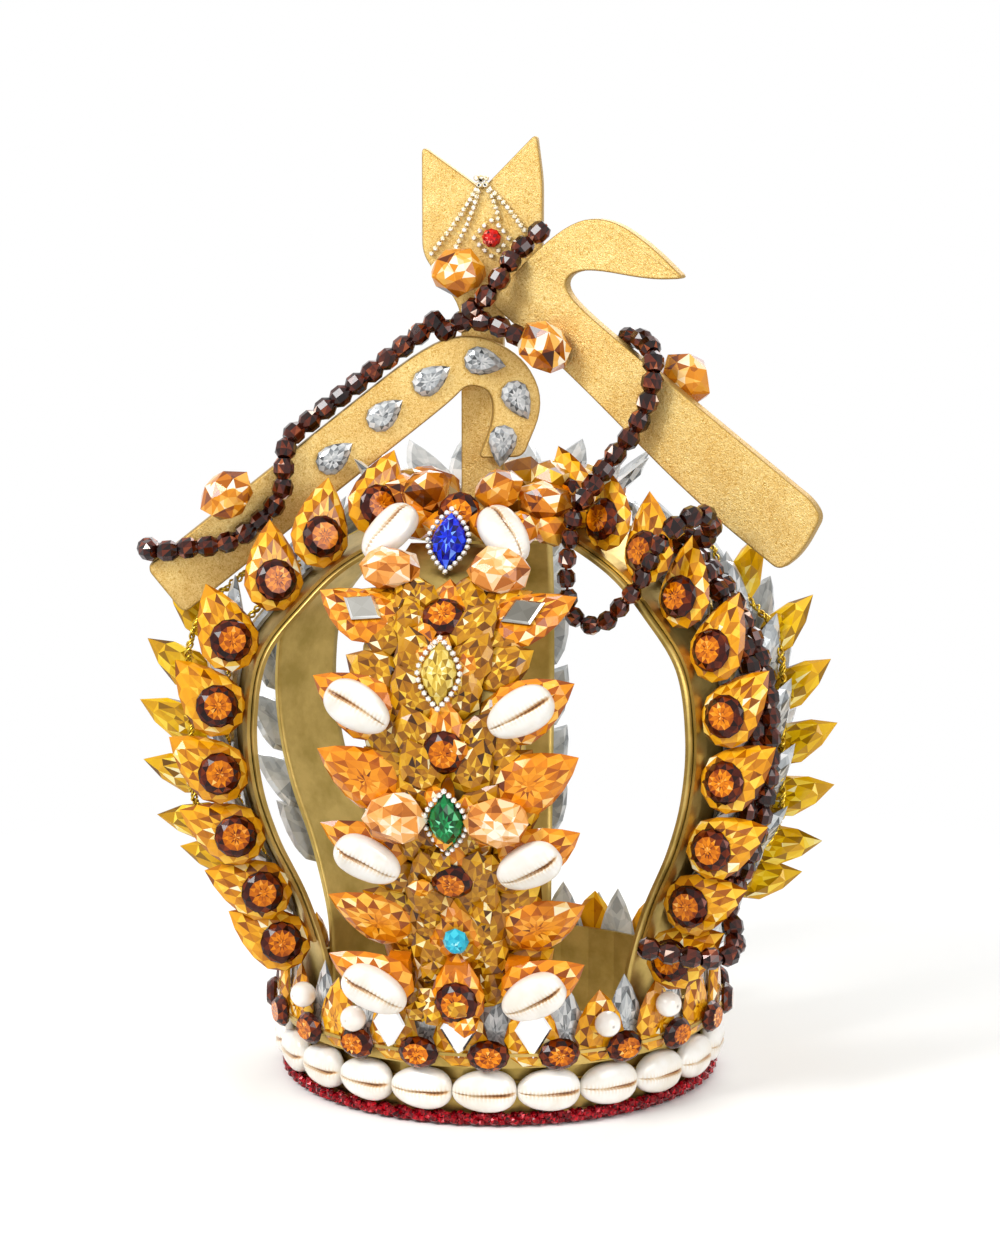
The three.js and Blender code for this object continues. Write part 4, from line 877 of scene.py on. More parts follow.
def flat_band(first, last, centre, width=TAPE, low=CLEARANCE, high=TAPE_TOP, drift=0.0, steps=40):
    """The glue tape under a row: a band that follows the strip from one share to another."""
    share = np.linspace(first, last, steps)[:, None]
    u = centre + np.array([-0.5, 0.5, 0.5, -0.5]) * width
    corners = strip_point(share, u, np.array([low, low, high, high]), drift).reshape(-1, 3)
    ends = [np.array([[0, 2, 1], [0, 3, 2]]), (steps - 1) * 4 + np.array([[0, 1, 2], [0, 2, 3]])]
    faces = np.concatenate([wall_faces(steps, 4), *ends])
    return corners, facing_out(corners, faces), np.full(len(faces), 0.35)


def standing_frames(shares, side, edge, rise, centre, back):
    """Frames of stones that stand on edge beside the strip and look forward, leaning back by 20 degrees."""
    along, out, across = strip_axes(shares)
    outward = swung(out, across * side, LEAN)
    lengthwise = swung(along, outward, rise)
    foot = strip_point(shares, -side * edge, 0) + outward * centre - lengthwise * back
    return stone_frames(foot, lengthwise, -side * across)


def on_round_end(frames, size):
    """Frames of round stones laid on the round ends of drops."""
    return moved(frames, y=size[1] / 2 - ROUND[0] / 2, z=size[2] - 0.5)


for (name, azimuth, side), seed in zip(SIDES, (20, 30)):
    shares = DROP_SHARES[name]
    frames = standing_frames(shares, side, DROP_EDGE, DROP_RISE, DROP[1] / 2 + SEAT, DROP[1] / 2)
    frames = turned(frames, azimuth)
    piece(name + "_drop_tape", spun(flat_band(shares[0] - 0.01, shares[-1] + 0.01, -side * DROP_EDGE), azimuth),
          gold_sheet)
    piece(name + "_amber_drops", copies(drop_stone, frames, seed, 0.13), amber, "amber_drops_" + name)
    piece(name + "_topaz_rounds", copies(round_stone, on_round_end(frames, DROP), seed + 1, 0.1), topaz)

LEAF_SHARES = np.array([0.25, 0.33, 0.41, 0.49, 0.57, 0.65, 0.73, 0.81])
BACK_LEAF_SHARES = np.array([0.27, 0.36, 0.45, 0.545, 0.64, 0.74, 0.84])
LEAF_TILT = math.radians(17)
BACK_TILT = math.radians(11)
BACK_SPLAY = math.radians(32)
LEAF_EDGE = 5.0


def leaf_row(name, azimuth, shares, places, seed, tilt):
    """Rows of clear leaves on one strip, with the tape under them; places are [u, splay] of each row."""
    frames = np.concatenate([on_strip(shares, u, SEAT, splay, tilt) for u, splay in places])
    width = TAPE if len(places) == 1 else 2 * TAPE + 2 * LEAF_EDGE
    band = flat_band(shares[0] - 0.01, shares[-1] + 0.01, sum(u for u, _ in places) / len(places), width)
    piece(name + "_clear_leaves", spun(together([copies(leaf_stone, frames, seed, 0.16), band]), azimuth), clear,
          "clear_leaves_" + name)


leaf_row("right", STRIPS["front_right"], LEAF_SHARES, [(LEAF_EDGE, 0)], 40, LEAF_TILT)
# A second row on the right lies over the first, further out
outer_leaves = on_strip(LEAF_SHARES - 0.03, 10.5, SEAT, math.radians(20), math.radians(14))
outer_leaves = turned(moved(outer_leaves, z=5.5), STRIPS["front_right"])
piece("right_outer_leaves", copies(leaf_stone, outer_leaves, 47, 0.16), clear)
leaf_row("left", STRIPS["front_left"], LEAF_SHARES, [(-LEAF_EDGE, 0)], 41, LEAF_TILT)
for seed, name in enumerate(("back_right", "back", "back_left"), 42):
    leaf_row(name, STRIPS[name], BACK_LEAF_SHARES, [(-LEAF_EDGE, -BACK_SPLAY), (LEAF_EDGE, BACK_SPLAY)], seed,
             BACK_TILT)

SPIKE_EDGE = 20.6
SPIKE_TAPE = 5.3
SPIKE_SHARES = {"right": np.arange(0.3, 0.73, 0.07), "left": np.arange(0.3, 0.66, 0.07)}


def spike_row(name, azimuth, side, seed):
    """Yellow spikes behind the strip's edge, and the narrow band beside the strip that joins them."""
    shares = SPIKE_SHARES[name]
    frames = standing_frames(shares, side, -SPIKE_EDGE, SPIKE_RISE, 0, 0)
    frames[:, 3] -= strip_axes(shares)[1] * SHEET / 2
    centre = side * (SPIKE_EDGE - SPIKE_TAPE / 2)
    band = flat_band(shares[0] - 0.02, shares[-1] + 0.02, centre, SPIKE_TAPE, -SHEET, 0)
    piece(name + "_yellow_spikes", spun(together([copies(spike_stone, frames, seed), band]), azimuth), yellow,
          "yellow_spikes_" + name)


def wire_chain(name, azimuth, places, seed, node=None, steps=420):
    """Three gilt wires twisted about a line through places of the strip: each is the line plus a helix of about
    1 mm radius, which two sines make looser and tighter."""
    chance = np.random.default_rng(seed)
    s = np.linspace(0, 1, steps)
    line, run = along_curve(route_curve(places), s)
    s = s[:, None]
    wires = []
    for lag in (0, TURN / 3, 2 * TURN / 3):
        waves = chance.uniform(0, TURN, (3, 1))
        radius = 0.85 + 0.35 * np.sin(9 * TURN * s + waves[0]) * np.sin(2.3 * TURN * s + waves[1])
        angle = 26 * TURN * s + lag + 0.8 * np.sin(5 * TURN * s + waves[2])
        corners, faces, _ = tube(line + radius * swung(*side_of(run), angle), 0.42, 6)
        wires.append((corners, faces, np.zeros(len(faces))))
    corners, faces, _ = together(wires)
    piece(name, (turned(corners, azimuth), faces, None), gold_wire, node, smooth=True)


for (name, azimuth, side), seed in zip(SIDES, (50, 51)):
    spike_row(name, azimuth, side, seed)
for (name, azimuth, side), seed in zip(SIDES, (52, 53)):
    edge = strip_point(np.linspace(0.2, 0.85, 14), side * STRIP_WIDTH / 2, 1.4)
    wire_chain(name + "_wire_chain", azimuth, edge, seed, "gold_chain_" + name)
    # A second chain hangs looser, over the leaves and the feet of the spikes
    loose = np.linspace(0.24, 0.83, 18)
    sway = 10 + 1.8 * np.sin(31 * loose) + 3.5 * smoothstep(loose, 0.3, 0.5)
    wire_chain(name + "_loose_chain", azimuth, strip_point(loose, side * (19 + np.sin(47 * loose)), sway), seed + 4)


# -------------------------------- front strip

FRONT_LEAVES = np.array([0.739, 0.604, 0.506, 0.4, 0.278, 0.19])
FRONT_SPLAY = math.radians(60)
LOW_LIFT = OVAL_ROW - FOOT_RADIUS + 2 * CLEARANCE
FLARE = 0.05  # how far up the strip a low stone takes its direction
ON_LEAF = FRONT_LEAF[2] + CLEARANCE
ON_DROP = SEAT + CENTRE_DROP[2] + 3 * CLEARANCE
FRONT_ROW = 15.0  # the leaves' and their tape's distance from the strip's middle
FRONT_TAPE = 19.0
LEAF_SPOT = 12.0  # the middle of what lies on a leaf or a drop, from its round end
DROP_SPOT = 11.0
BLUE_TIP = 28.0  # degrees by which the topmost stones are turned up, where the strip bends back
COWRIE_TIP = 26.0


def front_leaf_frames(side):
    """Frames of the six front leaves of one side, splayed by 60 degrees."""
    lifts = np.array([SEAT] * 5 + [LOW_LIFT])
    return on_front(FRONT_LEAVES, side * FRONT_ROW, lifts, side * FRONT_SPLAY, ahead=FLARE)


def front_pad(share, u):
    """A pad of glue under the stones that sit off the strip where it flares."""
    half = PAD / 2 / STRIP_LENGTH
    return flat_band(share - half, share + half, u, PAD, CLEARANCE, LOW_LIFT + 0.5, FRONT_DRIFT, 4)


for (name, _, side), seed in zip(SIDES, (60, 61)):
    piece(name + "_front_leaves", together([
        copies(front_leaf_stone, front_leaf_frames(side), seed, 0.13),
        flat_band(0.225, 0.749, side * FRONT_TAPE, drift=FRONT_DRIFT),
        front_pad(0.235, side * FRONT_TAPE)]), front_amber, "front_leaf_gems_" + name)

TURQUOISE_SHARE = 0.236
centre_frames = on_front(np.array([0.716, 0.535, 0.349, 0.143]), 0, np.array([SEAT, SEAT, SEAT, LOW_LIFT]))
turquoise_drop = on_front(TURQUOISE_SHARE, 0, 2 * SEAT, ahead=FLARE)
piece("front_centre_drops", together([
    copies(centre_drop_stone, np.concatenate([centre_frames, turquoise_drop[None]]), 62, 0.13),
    flat_band(0.226, 0.726, 0, 4, drift=FRONT_DRIFT), front_pad(TURQUOISE_SHARE, 0)]), front_amber,
    "front_round_stones")
piece("front_topaz_rounds", copies(round_stone, on_round_end(centre_frames, CENTRE_DROP), 63, 0.1), topaz)


def rhinestones(name, frames, seed, jitter, material, node=None):
    """Rhinestones about the origins of frames."""
    piece(name, copies(tiny_stone, moved(frames, y=-RHINESTONE[0] / 2), seed, jitter), material, node)


def navette_frame(frames, count=24, reach=0.9, height=1.2):
    """Frames of the rhinestones round a marquise: equal shares of its outline, moved out from its middle."""
    spots = round_line(lens_line(*MARQUISE[:2]), np.arange(count) / count)
    spots = spots + unit(spots - [0, MARQUISE[0] / 2]) * reach
    each = np.repeat(frames[None], count, 0)
    each[:, 3] = carried(np.column_stack([spots, np.full(count, height)]), frames)
    return each


for name, share, height, material, tip, seed in (
        ("blue", 0.855, CLEARANCE, blue, BLUE_TIP, 70), ("citrine", 0.633, ON_DROP, citrine, 0, 71),
        ("green", 0.442, ON_DROP, green, 0, 72)):
    frames = tipped(on_front(share, 0, height), tip)
    piece(name + "_navette", copies(marquise_stone, frames, seed), material, name + "_marquise")
    rhinestones(name + "_navette_frame", navette_frame(frames), seed, 0.15, rhinestone)

seat = moved(turquoise_drop, y=DROP_SPOT - TURQUOISE[0] / 2, z=CENTRE_DROP[2] + CLEARANCE)
piece("turquoise_cut", copies(turquoise_stone, seat, 73), turquoise, "turquoise_stone")


def laid_cowrie(name, number, frames):
    """One cowrie of the front strip."""
    piece(f"{name}_{number}", copies(big_cowrie, frames, number, 0.0), shell, f"front_cowrie_{number}", smooth=True)


for number, (row, side) in enumerate([(row, side) for row in (1, 3, 5) for side in (-1, 1)], 1):
    on_leaf = moved(front_leaf_frames(side)[row], y=LEAF_SPOT - COWRIE[0] / 2, z=ON_LEAF)
    laid_cowrie("cowrie_on_leaf", number, on_leaf)
for number, side in ((7, -1), (8, 1)):
    frames = on_front(0.91, side * 17, CLEARANCE, -side * math.radians(40))
    laid_cowrie("cowrie_near_top", number, tipped(moved(frames, y=-COWRIE[0] / 2), COWRIE_TIP))
for name, _, side in SIDES:
    frames = moved(front_leaf_frames(side)[0], y=LEAF_SPOT - MIRROR[0] / 2, z=ON_LEAF)
    # The right mirror's tones are lowered by 0.3, a painted darker reflection on that side
    corners, faces, tone = copies(mirror_stone, frames, 80, 0.02)
    piece(name + "_mirror_rhombus", (corners, faces, tone - (0.3 if side > 0 else 0)), mirror_glass,
          "front_mirror_" + name)
for k, (share, u, h) in enumerate(((0.834, -17, 0.4), (0.834, 17, 0.4), (0.485, -16, 2.6), (0.485, 16, 2.6)), 1):
    frames = moved(on_front(share, u, h, TURN / 4), y=-NUGGET[0] / 2)
    piece(f"peach_nugget_{k}", copies(rough_nugget(NUGGET, 90 + k, 8), frames, 90 + k, 0.05), peach,
          f"front_nugget_{k}")


def under_petals():
    """Golden drops that cover the front strip under its other stones: two rows on each side of the middle, a step
    of 0.05 of the strip's length apart, splayed by 22 or 50 degrees and shuffled a little by chance."""
    chance = np.random.default_rng(104)
    share = np.repeat(np.arange(0.16, 0.79, 0.05), 4)
    count = len(share)
    side = np.tile([-1.0, 1.0, -1.0, 1.0], count // 4)
    outer = np.tile([0.0, 0.0, 1.0, 1.0], count // 4)
    share = share + chance.uniform(-0.008, 0.008, count)
    room = front_half(share) / (FRONT_WIDTH / 2)
    u = side * (5 + 7.5 * outer) * room + chance.uniform(-1, 1, count)
    h = 0.4 + (1 - outer) * chance.uniform(0.2, 1.6, count)
    splay = side * np.radians(22 + 28 * outer) + chance.uniform(-0.25, 0.25, count)
    lift = (1 - outer) * chance.uniform(0.0, 0.16, count)
    return copies(under_petal, on_front(share, u, h, splay, np.arctan(lift)), 105, 0.16)


def gap_chips(count, seed, highest):
    """Small cut chips in the gaps between the front stones: places drawn by chance beside the middle row, each
    chip turned by chance and tipped off the strip."""
    chance = np.random.default_rng(seed)
    share = chance.uniform(0.15, 0.78, count)
    u = chance.choice([-1, 1], count) * chance.uniform(3.5, 8, count) * front_half(share) / (FRONT_WIDTH / 2)
    h = np.where(share < 0.22, LOW_LIFT, 1.8) + chance.uniform(0, highest, count)
    spin, lift = chance.uniform(0, TURN, count), chance.uniform(-0.5, 0.6, count)
    return copies(chip_stone, on_front(share, u, h, spin, np.arctan(lift)), seed + 1, 0.18)


piece("front_under_petals", under_petals(), fill_yellow)
piece("front_amber_chips", gap_chips(26, 101, 1.6), front_amber)
piece("front_golden_chips", gap_chips(20, 106, 1.4), fill_yellow)


# -------------------------------- pile of stones on the top

def heap(name, places, size, material, seed):
    """Cut nuggets heaped at places [azimuth, radius, height], each turned by chance."""
    chance = np.random.default_rng(seed)
    parts = []
    for k, (azimuth, radius, height) in enumerate(places):
        lengthwise = [chance.uniform(-1, 1), -1, chance.uniform(-0.2, 0.6)]
        axes = turned(stone_frames([0, -radius, height], lengthwise, UP + 0.6 * TO_FRONT), azimuth)
        corners, faces, tone = rough_nugget(size, seed + k)
        parts.append((carried(corners, moved(axes, y=-size[0] / 2, z=-size[2] / 2)), faces, tone))
    piece(name, together(parts), material)


heap("top_amber_heap", [
    (-50, 36, 196), (-30, 37, 199), (9, 36, 200), (32, 38, 196), (52, 36, 197), (78, 34, 195), (108, 33, 194),
    (150, 32, 194), (200, 32, 194), (235, 33, 194), (290, 34, 195)], (22, 17, 13), nugget_amber, 150)
heap("top_golden_heap", [
    (-40, 30, 195), (-12, 33, 192), (22, 31, 193), (42, 31, 203), (62, 35, 192), (128, 33, 196), (178, 32, 197),
    (262, 33, 196)], (19, 15, 11), fill_yellow, 170)
heap("top_front_fill", [
    (-46, 42, 188), (-29, 44, 189), (-14, 42, 189), (6, 43, 190), (18, 44, 189), (33, 42, 188)],
    (18, 14, 10), front_amber, 185)
top_round = stone_frames([-5.5, -44.5, 186.5], [0, 0.25, 1.0], np.array([0, -1.0, 0.25]))
piece("top_topaz_round", copies(round_stone, top_round, 180), topaz)
# Clear leaves stand up behind the heap, in a ring on the plate, tips up and out
top_leaf = stone_frames([0, -29, 190.5], [0, -0.75, 0.66], np.array([0, -0.66, -0.75]))
top_leaves = np.stack([turned(top_leaf, azimuth) for azimuth in range(60, 301, 24)])
piece("top_clear_leaves", copies(leaf_stone, top_leaves, 190, 0.2), clear)


# -------------------------------- mirrors and pearls on the petals

def on_petals(azimuths, height, depth):
    """Frames on the outer face of the amber petals' row: length up, face out."""
    out = ring_out(np.radians(np.asarray(azimuths, float)))
    return stone_frames(out * (AMBER_ROW + PETAL[2] + depth) + UP * np.asarray(height)[..., None], UP, out)


mirror_frames = on_petals([-18, 0, 18, 162, 180, 198], PETAL_FOOT + 4, 0.2)
piece("petal_mirror_rhombi", copies(petal_mirror, mirror_frames, 200, 0.02), mirror_glass)


def pearl_ball(diameter, rings=14, sides=20):
    """A pearl: a half circle turned about its axis, with a small dimple at each end where it is drilled."""
    b = np.linspace(0, math.pi, rings)[:, None]
    a = TURN * np.arange(sides) / sides
    r = diameter / 2 * (1 - 0.06 * np.exp(-((np.sin(b) / 0.12) ** 2)))
    corners = np.stack([r * np.sin(b) * np.cos(a), r * np.sin(b) * np.sin(a), r * np.cos(b) + 0 * a], -1)
    corners, faces = corners.reshape(-1, 3), wall_faces(rings, sides)
    return corners, facing_out(corners, faces), np.full(len(faces), 0.5)


pearl_frames = on_petals([-45, 54, 36, -27, 126, 144, 216, 234], [36, 36, 33.5, 33, 35, 35, 35, 35], 3.6)
piece("petal_pearls", copies(pearl_ball(PEARL), pearl_frames, 201, 0), pearl, smooth=True)


# -------------------------------- tools

YAW = 16.7
ARROW_FOOT = 186.77
ARROW_CENTRE = -6.0
ARROW = (126.0, 40.0, 14.0)
CROOK_WIDTH = 19.6
CROOK_LENGTH = 122.0
CROOK_BACK = -0.3 - CLEARANCE - (ARROW_CENTRE + ARROW[2] / 2 + 5) * math.tan(math.radians(YAW))
BLADE_LENGTH = 133.5
BLADE_HEAD = 56.0
BLADE_FOOT = 26.0


def tool_frame(pivot, yaw, tilt):
    """A tool's frame of four rows: its board lies in x and z, turned down by the tilt and round by the yaw."""
    t = math.radians(-tilt)
    rows = np.array([[math.cos(t), 0, -math.sin(t)], [0, 1, 0], [math.sin(t), 0, math.cos(t)], [0, 0, 0]])
    rows = turned(rows, yaw)
    rows[3] = pivot
    return rows


arrow_frame = tool_frame([0, 4.2, ARROW_FOOT], 0, 0)
crook_frame = tool_frame([-5, CROOK_BACK, 227.97], YAW, 38)
blade_frame = tool_frame([-4, -0.6, 254.97], -YAW, -39.5)


def rounded(points, trims, steps=7):
    """A polygon with rounded corners: each corner becomes a curve that starts and ends on its two sides, no
    further than 48% along them, and is drawn towards the corner."""
    p = np.asarray(points, float)
    back, ahead = np.roll(p, 1, 0) - p, np.roll(p, -1, 0) - p
    reach = lambda side: np.minimum(np.asarray(trims)[:, None] / np.linalg.norm(side, axis=1, keepdims=True), 0.48)
    first, last = p + back * reach(back), p + ahead * reach(ahead)
    s = np.linspace(0, 1, steps)[None, :, None]
    return ((1 - s) ** 2 * first[:, None] + 2 * s * (1 - s) * p[:, None] + s**2 * last[:, None]).reshape(-1, 2)


def gilded_board(name, outline, frames, node):
    """A flat board with softly rounded edges: rings of its outline from the back to the front, the outer ones
    drawn in by the rounding, and both faces closed. The tone is high on the worn sides and 0 on the faces."""
    area = np.sum(outline[:, 0] * np.roll(outline[:, 1], -1) - np.roll(outline[:, 0], -1) * outline[:, 1])
    outline = outline if area > 0 else outline[::-1]
    side = np.roll(outline, -1, 0) - np.roll(outline, 1, 0)
    inward = unit(np.stack([-side[:, 1], side[:, 0]], -1))
    rings = [(0.7, 0.0), (0.35, 0.0), (0.08, 0.25), (0.0, 0.7), (0.0, BOARD - 0.7), (0.08, BOARD - 0.25),
             (0.35, BOARD), (0.7, BOARD)]
    count = len(outline)
    flat = [outline + inward * inset for inset, _ in rings]
    corners = np.concatenate([np.column_stack([line[:, 0], np.full(count, -depth), line[:, 1]])
                              for line, (_, depth) in zip(flat, rings)])
    step = np.arange(count)
    after = (step + 1) % count
    walls = [np.stack([k + after, k + count + after, k + count + step, k + step], -1)
             for k in range(0, (len(rings) - 1) * count, count)]
    faces = np.concatenate(walls).tolist() + [step[::-1].tolist(), ((len(rings) - 1) * count + step).tolist()]
    tone = np.append(np.repeat([0.35, 0.8, 0.9, 0.75, 0.9, 0.75, 0.3], count), [0.0, 0.0])
    rounded_side = np.arange(len(faces)) < len(faces) - 2
    piece(name, (carried(corners, frames), faces, tone), gold_leaf, node, smooth=rounded_side)


shaft = ARROW[2] / ARROW[1]
arrow_points = np.array([
    [-shaft, 0], [shaft, 0], [shaft, 0.55], [0.8, 0.64], [1, 0.69], [1, 0.88], [0.9, 1], [0, 0.855], [-1, 0.966],
    [-1, 0.69], [-0.8, 0.64], [-shaft, 0.55]]) * [ARROW[1] / 2, ARROW[0]] + [ARROW_CENTRE, 0]
gilded_board("forked_board", rounded(arrow_points, [2, 2, 6, 4, 4, 4, 2.6, 2, 2.6, 4, 4, 6]), arrow_frame,
             "forked_upright_tool")
crook_end = -CROOK_LENGTH / CROOK_WIDTH
crook_points = CROOK_WIDTH * np.array([
    [-0.5, 0.27], [-0.12, 0.33], [0.13, -0.02], [-0.15, -0.44], [-0.74, -0.78], [-0.15, -1.23], [0.72, -0.74],
    [0.91, 0.1], [0.53, 0.9], [-0.2, 1.27], [crook_end, 1.27], [crook_end, 0.27]])
gilded_board("crook_board", rounded(crook_points, [9, 9, 9, 9, 2, 3, 20, 20, 20, 20, 3, 3]), crook_frame,
             "crook_tool")
blade_points = np.concatenate([
    np.array([[0.5, 0.43], [0.31, 0.452], [0.285, 0.54], [0.375, 0.654], [0.69, 0.845], [0.848, 0.991],
              [0.559, 1], [0.279, 0.954], [0.105, 0.79], [0.02, 0.4], [0.01, 0.075]]) * BLADE_HEAD,
    np.array([[0.26, 0.21], [0.71, 0.14], [0.985, 0.25], [1, 0.6], [0.98, 1.12], [0.936, 1.19]])
    * [BLADE_LENGTH, BLADE_FOOT]])
blade_trims = [20, 9, 9, 20, 20, 2.6, 20, 20, 20, 20, 3, 20, 20, 3, 20, 3, 3]
gilded_board("hooked_blade_board", rounded(blade_points, blade_trims), blade_frame, "hooked_blade_tool")

crook_places = np.array([[-2.6, 0.76], [-1.5, 0.8], [-0.53, 0.77], [0.33, 0.44], [0.37, -0.42], [-0.31, -0.85]])
crook_turns = np.radians([-90, -90, -95, -140, -190, -225])
lengthwise = np.stack([-np.sin(crook_turns), 0 * crook_turns, np.cos(crook_turns)], -1)
origin = np.stack([crook_places[:, 0] * CROOK_WIDTH, np.full(6, BOARD_FACE), crook_places[:, 1] * CROOK_WIDTH], -1)
on_crook = moved(stone_frames(origin, lengthwise, TO_FRONT), y=-CROOK_STONE[0] / 2) @ crook_frame[:3]
on_crook[:, 3] += crook_frame[3]
piece("crook_clear_drops", copies(crook_stone, on_crook, 110, 0.14), clear, "crook_stones")


def on_arrow(x, z, depth):
    """Frames on the upright board's face, upright, at shares of its height from its centre line and its foot."""
    x, z, depth = np.broadcast_arrays(x, z, depth)
    place = np.stack([ARROW_CENTRE + x * ARROW[0], BOARD_FACE - depth, z * ARROW[0]], -1)
    return stone_frames(place + arrow_frame[3], UP, TO_FRONT)


# Four chains fan down from a knot of three stones
KNOT_HEIGHT = 0.88
fan = []
for x, z in ((-0.135, 0.685), (-0.07, 0.7), (0.045, 0.78), (0.118, 0.743)):
    length = math.hypot(x, z - KNOT_HEIGHT) * ARROW[0]
    s = np.arange(0, length, 1.95) / length
    fan.append(on_arrow(s * x + 0.008 * np.sin(math.pi * s), KNOT_HEIGHT + s * (z - KNOT_HEIGHT), 0.2))
fan.append(on_arrow([0.002, -0.012, 0.014], [0.888, 0.884, 0.884], [0.8, 0.6, 0.6]))
rhinestones("rhinestone_fan", np.concatenate(fan), 120, 0.2, gilt_rhinestone, "rhinestone_chains")

flower = on_arrow(0.027, 0.73, 0)
piece("red_flower_centre", copies(flower_stone, moved(flower, y=-FLOWER[0] / 2), 121), red, "red_flower_stone")
a = TURN * np.arange(12)[:, None] / 12
reach = 5.8 / (np.abs(np.cos(a)) + np.abs(np.sin(a))) ** 0.7
petals = moved(np.repeat(flower[None], 12, 0), x=reach * np.cos(a), y=reach * np.sin(a))
rhinestones("red_flower_petals", petals, 122, 0.2, gilt_rhinestone)


NUGGET_FRONT = BOARD_FACE - BIG_NUGGET[2] / 2
NUGGET_BACK = CLEARANCE + BIG_NUGGET[2] / 2
# Each big nugget is placed by its middle in the frame of the tool that it is tied to
for name, middle, frames, seed in (
        ("top", [-12, -10.2, 268.3], np.eye(4, 3), 131), ("middle", [26.6, NUGGET_FRONT, 8.9], blade_frame, 134),
        ("right", [65, NUGGET_BACK, 28], blade_frame, 132), ("left", [-86, NUGGET_FRONT, 28], crook_frame, 133)):
    corners, faces, tone = rough_nugget(BIG_NUGGET, seed)
    axes = moved(stone_frames(middle, [1, 0, 0], TO_FRONT), y=-BIG_NUGGET[0] / 2, z=-BIG_NUGGET[2] / 2)
    piece("tied_nugget_" + name, (carried(carried(corners, axes), frames), faces, tone), nugget_amber,
          "big_nugget_" + name)


# -------------------------------- bead strands

bead_strand("strand_over_top", [
    [16.5, -6, 283.5], [11.3, -7, 278.5], [7.3, -9.5, 274.7], [4.7, -14, 270.3], [1.5, -16, 264.9],
    [-3.6, -15, 259], [-9.2, -11, 254.8]], 140, "bead_strand_top")
bead_strand("strand_on_crook", carried(np.array([
    [5, -2.2, 28.9], [-25, -2.2, 28.9], [-50, -2.2, 28.9], [-59, -4.5, 28.8], [-65, -8.6, 24.5], [-71, -8.6, 18],
    [-79, -8.6, 14.6], [-86, -8.6, 14.2], [-93, -8.6, 14.6], [-100, -8.6, 17.6], [-107, -8.6, 22],
    [-113, -8.4, 25.5], [-117, -6.5, 28.6], [-118, -2, 29.4], [-117, 3, 28], [-116, 4.4, 22], [-116, 4.4, 15]]),
    crook_frame), 141, "bead_strand_crook")
bead_strand("strand_over_bend", [
    [11, -18, 247.5], [6.5, -15.5, 249], [0.5, -13.5, 251.5], [-6, -11.8, 252.5], [-12.5, -10, 251.5],
    [-19, -9, 247]], 145)
bead_strand("strand_round_blade", [
    [41.7, -9, 247.3], [48.4, -15, 247.6], [53.3, -23, 244], [54.2, -27.2, 237], [53, -27.2, 230.4],
    [50.4, -26.7, 223.3], [46.5, -27, 216.7], [42.8, -29, 212], [39.1, -32, 206.8], [35.2, -38, 200.7],
    [32.3, -42.8, 196.6]], 142, "bead_strand_blade")
LOOP_START = np.array([31.8, -43.7, 195.5])
LOOP_HEADING = np.array([0.929, -0.371, 0])
loop_points = np.array([
    [0, 0], [-1.4, -5.6], [-2.2, -12], [-3.2, -18.9], [-2.8, -25], [-1.7, -31.1], [0.9, -35], [6.8, -36.5],
    [12.7, -34], [17.4, -28.8], [22.1, -23.6], [25.6, -17.6], [29.1, -11], [32.3, -6]])
bead_strand("free_bead_loop", LOOP_START + loop_points[:, :1] * LOOP_HEADING + loop_points[:, 1:] * UP, 143,
            "hanging_bead_loop", "bead_loop", loop_bead)
right_start = [[-16.7, -81.5, 190], [-13, -84.5, 193.5], [-7, -86.5, 195.5], [0, -86, 193.5], [3.5, -83.5, 187.5]]
right_places = np.array([
    [0.83, 3, 15.5], [0.78, 3, 15.5], [0.72, 3, 15], [0.66, 3, 13.5], [0.6, 3, 12.2], [0.54, 3, 11.8],
    [0.48, 3, 11.8], [0.42, 3, 12], [0.36, 3, 14], [0.31, 1.5, 23], [0.29, -5, 29], [0.28, -14, 27],
    [0.275, -22, 19], [0.27, -27, 11]])
second_places = np.array([
    [0.86, 8, 12], [0.8, 8.5, 14], [0.72, 8.5, 14.5], [0.64, 8.5, 14.5], [0.56, 8.5, 14.5], [0.48, 8.5, 14.5],
    [0.4, 8, 14.5], [0.35, 6, 15]])
right_route = np.concatenate([right_start, strip_point(*right_places.T)])
bead_strand("strand_down_right", turned(right_route, STRIPS["front_right"]), 144, "bead_strand_right")
bead_strand("second_strand_down_right", turned(strip_point(*second_places.T), STRIPS["front_right"]), 146)


# -------------------------------- floor, light and camera

FLOOR_RADIUS = 1.6
FLOOR_DROP = 0.0002
CAMERA_PLACE = np.array([188.4, -1068.5, 332.0])
CAMERA_DOWN = 9.5
CAMERA_ROUND = 10.0
CAMERA_LENS = 95.04


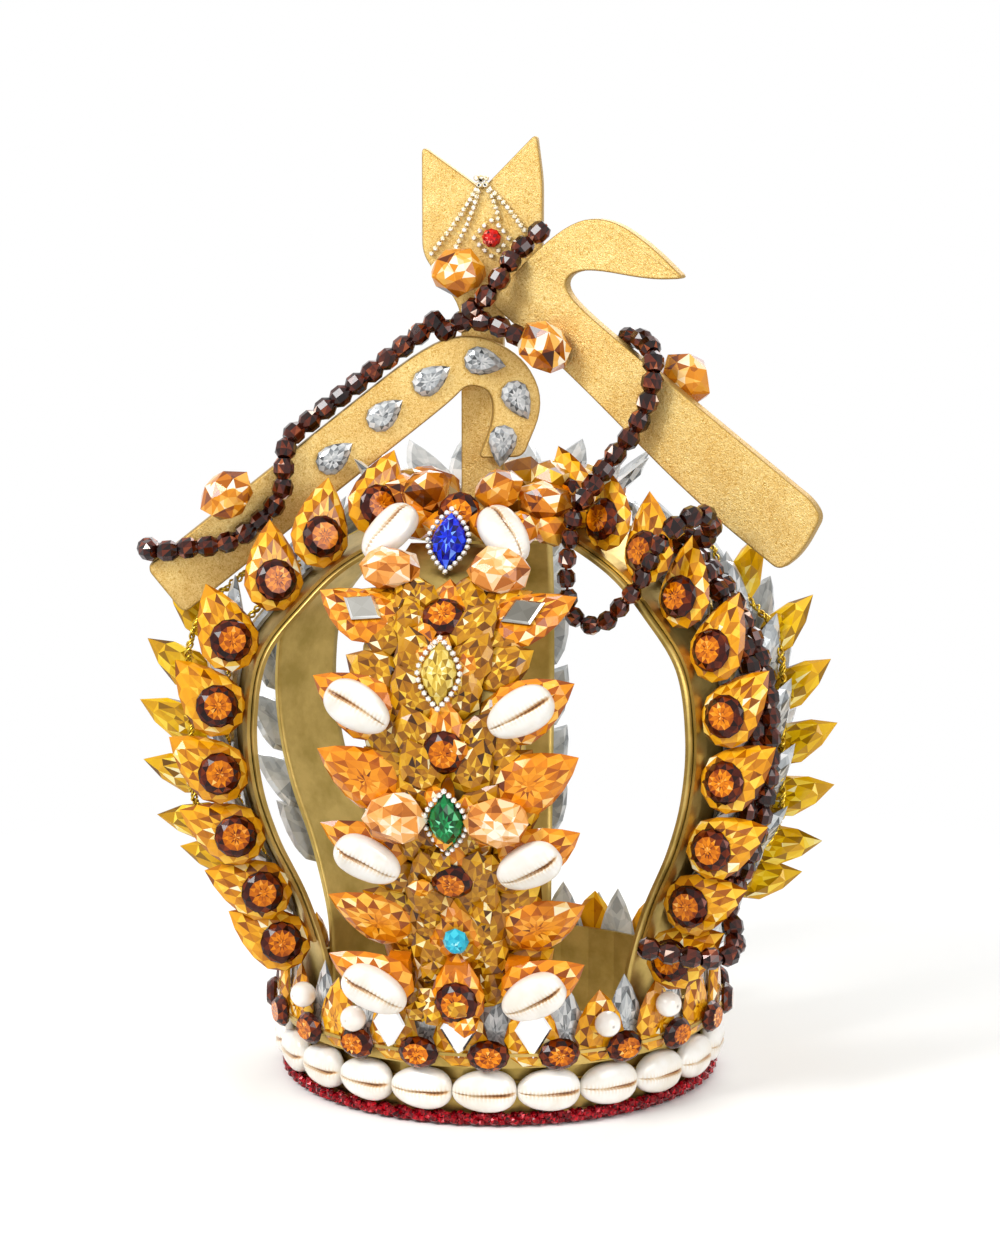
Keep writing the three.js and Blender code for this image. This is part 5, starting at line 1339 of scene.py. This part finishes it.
def floor():
    """A pale round floor that fades into the white background."""
    a = TURN * np.arange(64) / 64
    mesh = bpy.data.meshes.new("floor")
    rim = np.stack([FLOOR_RADIUS * np.cos(a), FLOOR_RADIUS * np.sin(a), 0 * a - FLOOR_DROP], -1)
    mesh.from_pydata(rim.tolist(), [], [list(range(64))])
    floor_object = bpy.data.objects.new("floor", mesh)
    bpy.context.scene.collection.objects.link(floor_object)
    paper, tree, place = new_finish("matt_white_paper")
    away = add_node(tree, "VectorMath", {"operation": "LENGTH"}, {0: place}).outputs["Value"]
    fade = add_node(tree, "MapRange", {"interpolation_type": "SMOOTHSTEP"}, {
        "Value": away, "From Min": 0.12, "From Max": 0.42})
    diffuse = add_node(tree, "BsdfDiffuse", inputs={"Color": colour("#FAFAF8")})
    nothing = add_node(tree, "BsdfTransparent")
    mixed = add_node(tree, "MixShader", inputs={0: fade, 1: diffuse, 2: nothing})
    add_node(tree, "OutputMaterial", inputs={"Surface": mixed})
    mesh.materials.append(paper)


def studio():
    """A white background, plain soft light from three sides, and the camera."""
    scene = bpy.context.scene
    scene.world = bpy.data.worlds.new("studio")
    scene.world.use_nodes = True
    tree = scene.world.node_tree
    tree.nodes.clear()
    rays = add_node(tree, "LightPath").outputs
    seen = rays["Is Camera Ray"]
    for ray in ("Is Transmission Ray", "Is Glossy Ray"):
        seen = add_node(tree, "Math", {"operation": "MAXIMUM"}, {0: seen, 1: rays[ray]})
    lit, white = (add_node(tree, "Background", inputs={"Color": (1, 1, 1, 1), "Strength": strength})
                  for strength in (0.55, 1.0))
    mixed = add_node(tree, "MixShader", inputs={0: seen, 1: lit, 2: white})
    add_node(tree, "OutputWorld", inputs={"Surface": mixed})

    for name, place, target_height, size, power in (
            ("key_light", (-0.75, -0.9, 1.05), 0.13, 0.5, 16), ("fill_light", (0.95, -0.75, 0.6), 0.13, 0.7, 7),
            ("back_light", (0.2, 1.0, 0.9), 0.15, 0.8, 8)):
        data = bpy.data.lights.new(name, "AREA")
        data.size = size
        data.energy = power
        lamp = bpy.data.objects.new(name, data)
        scene.collection.objects.link(lamp)
        lamp.location = place
        back = unit(np.array(place) - UP * target_height)
        lamp.rotation_euler = (math.acos(back[2]), 0, math.atan2(back[1], back[0]) + TURN / 4)

    scene.view_settings.view_transform = "Standard"
    data = bpy.data.cameras.new("camera")
    data.lens = CAMERA_LENS
    data.sensor_width = 36
    camera = bpy.data.objects.new("camera", data)
    scene.collection.objects.link(camera)
    camera.location = (CAMERA_PLACE + CROWN_SHIFT) * METRE
    camera.rotation_euler = (math.radians(90 - CAMERA_DOWN), 0, math.radians(CAMERA_ROUND))
    scene.camera = camera


floor()
studio()
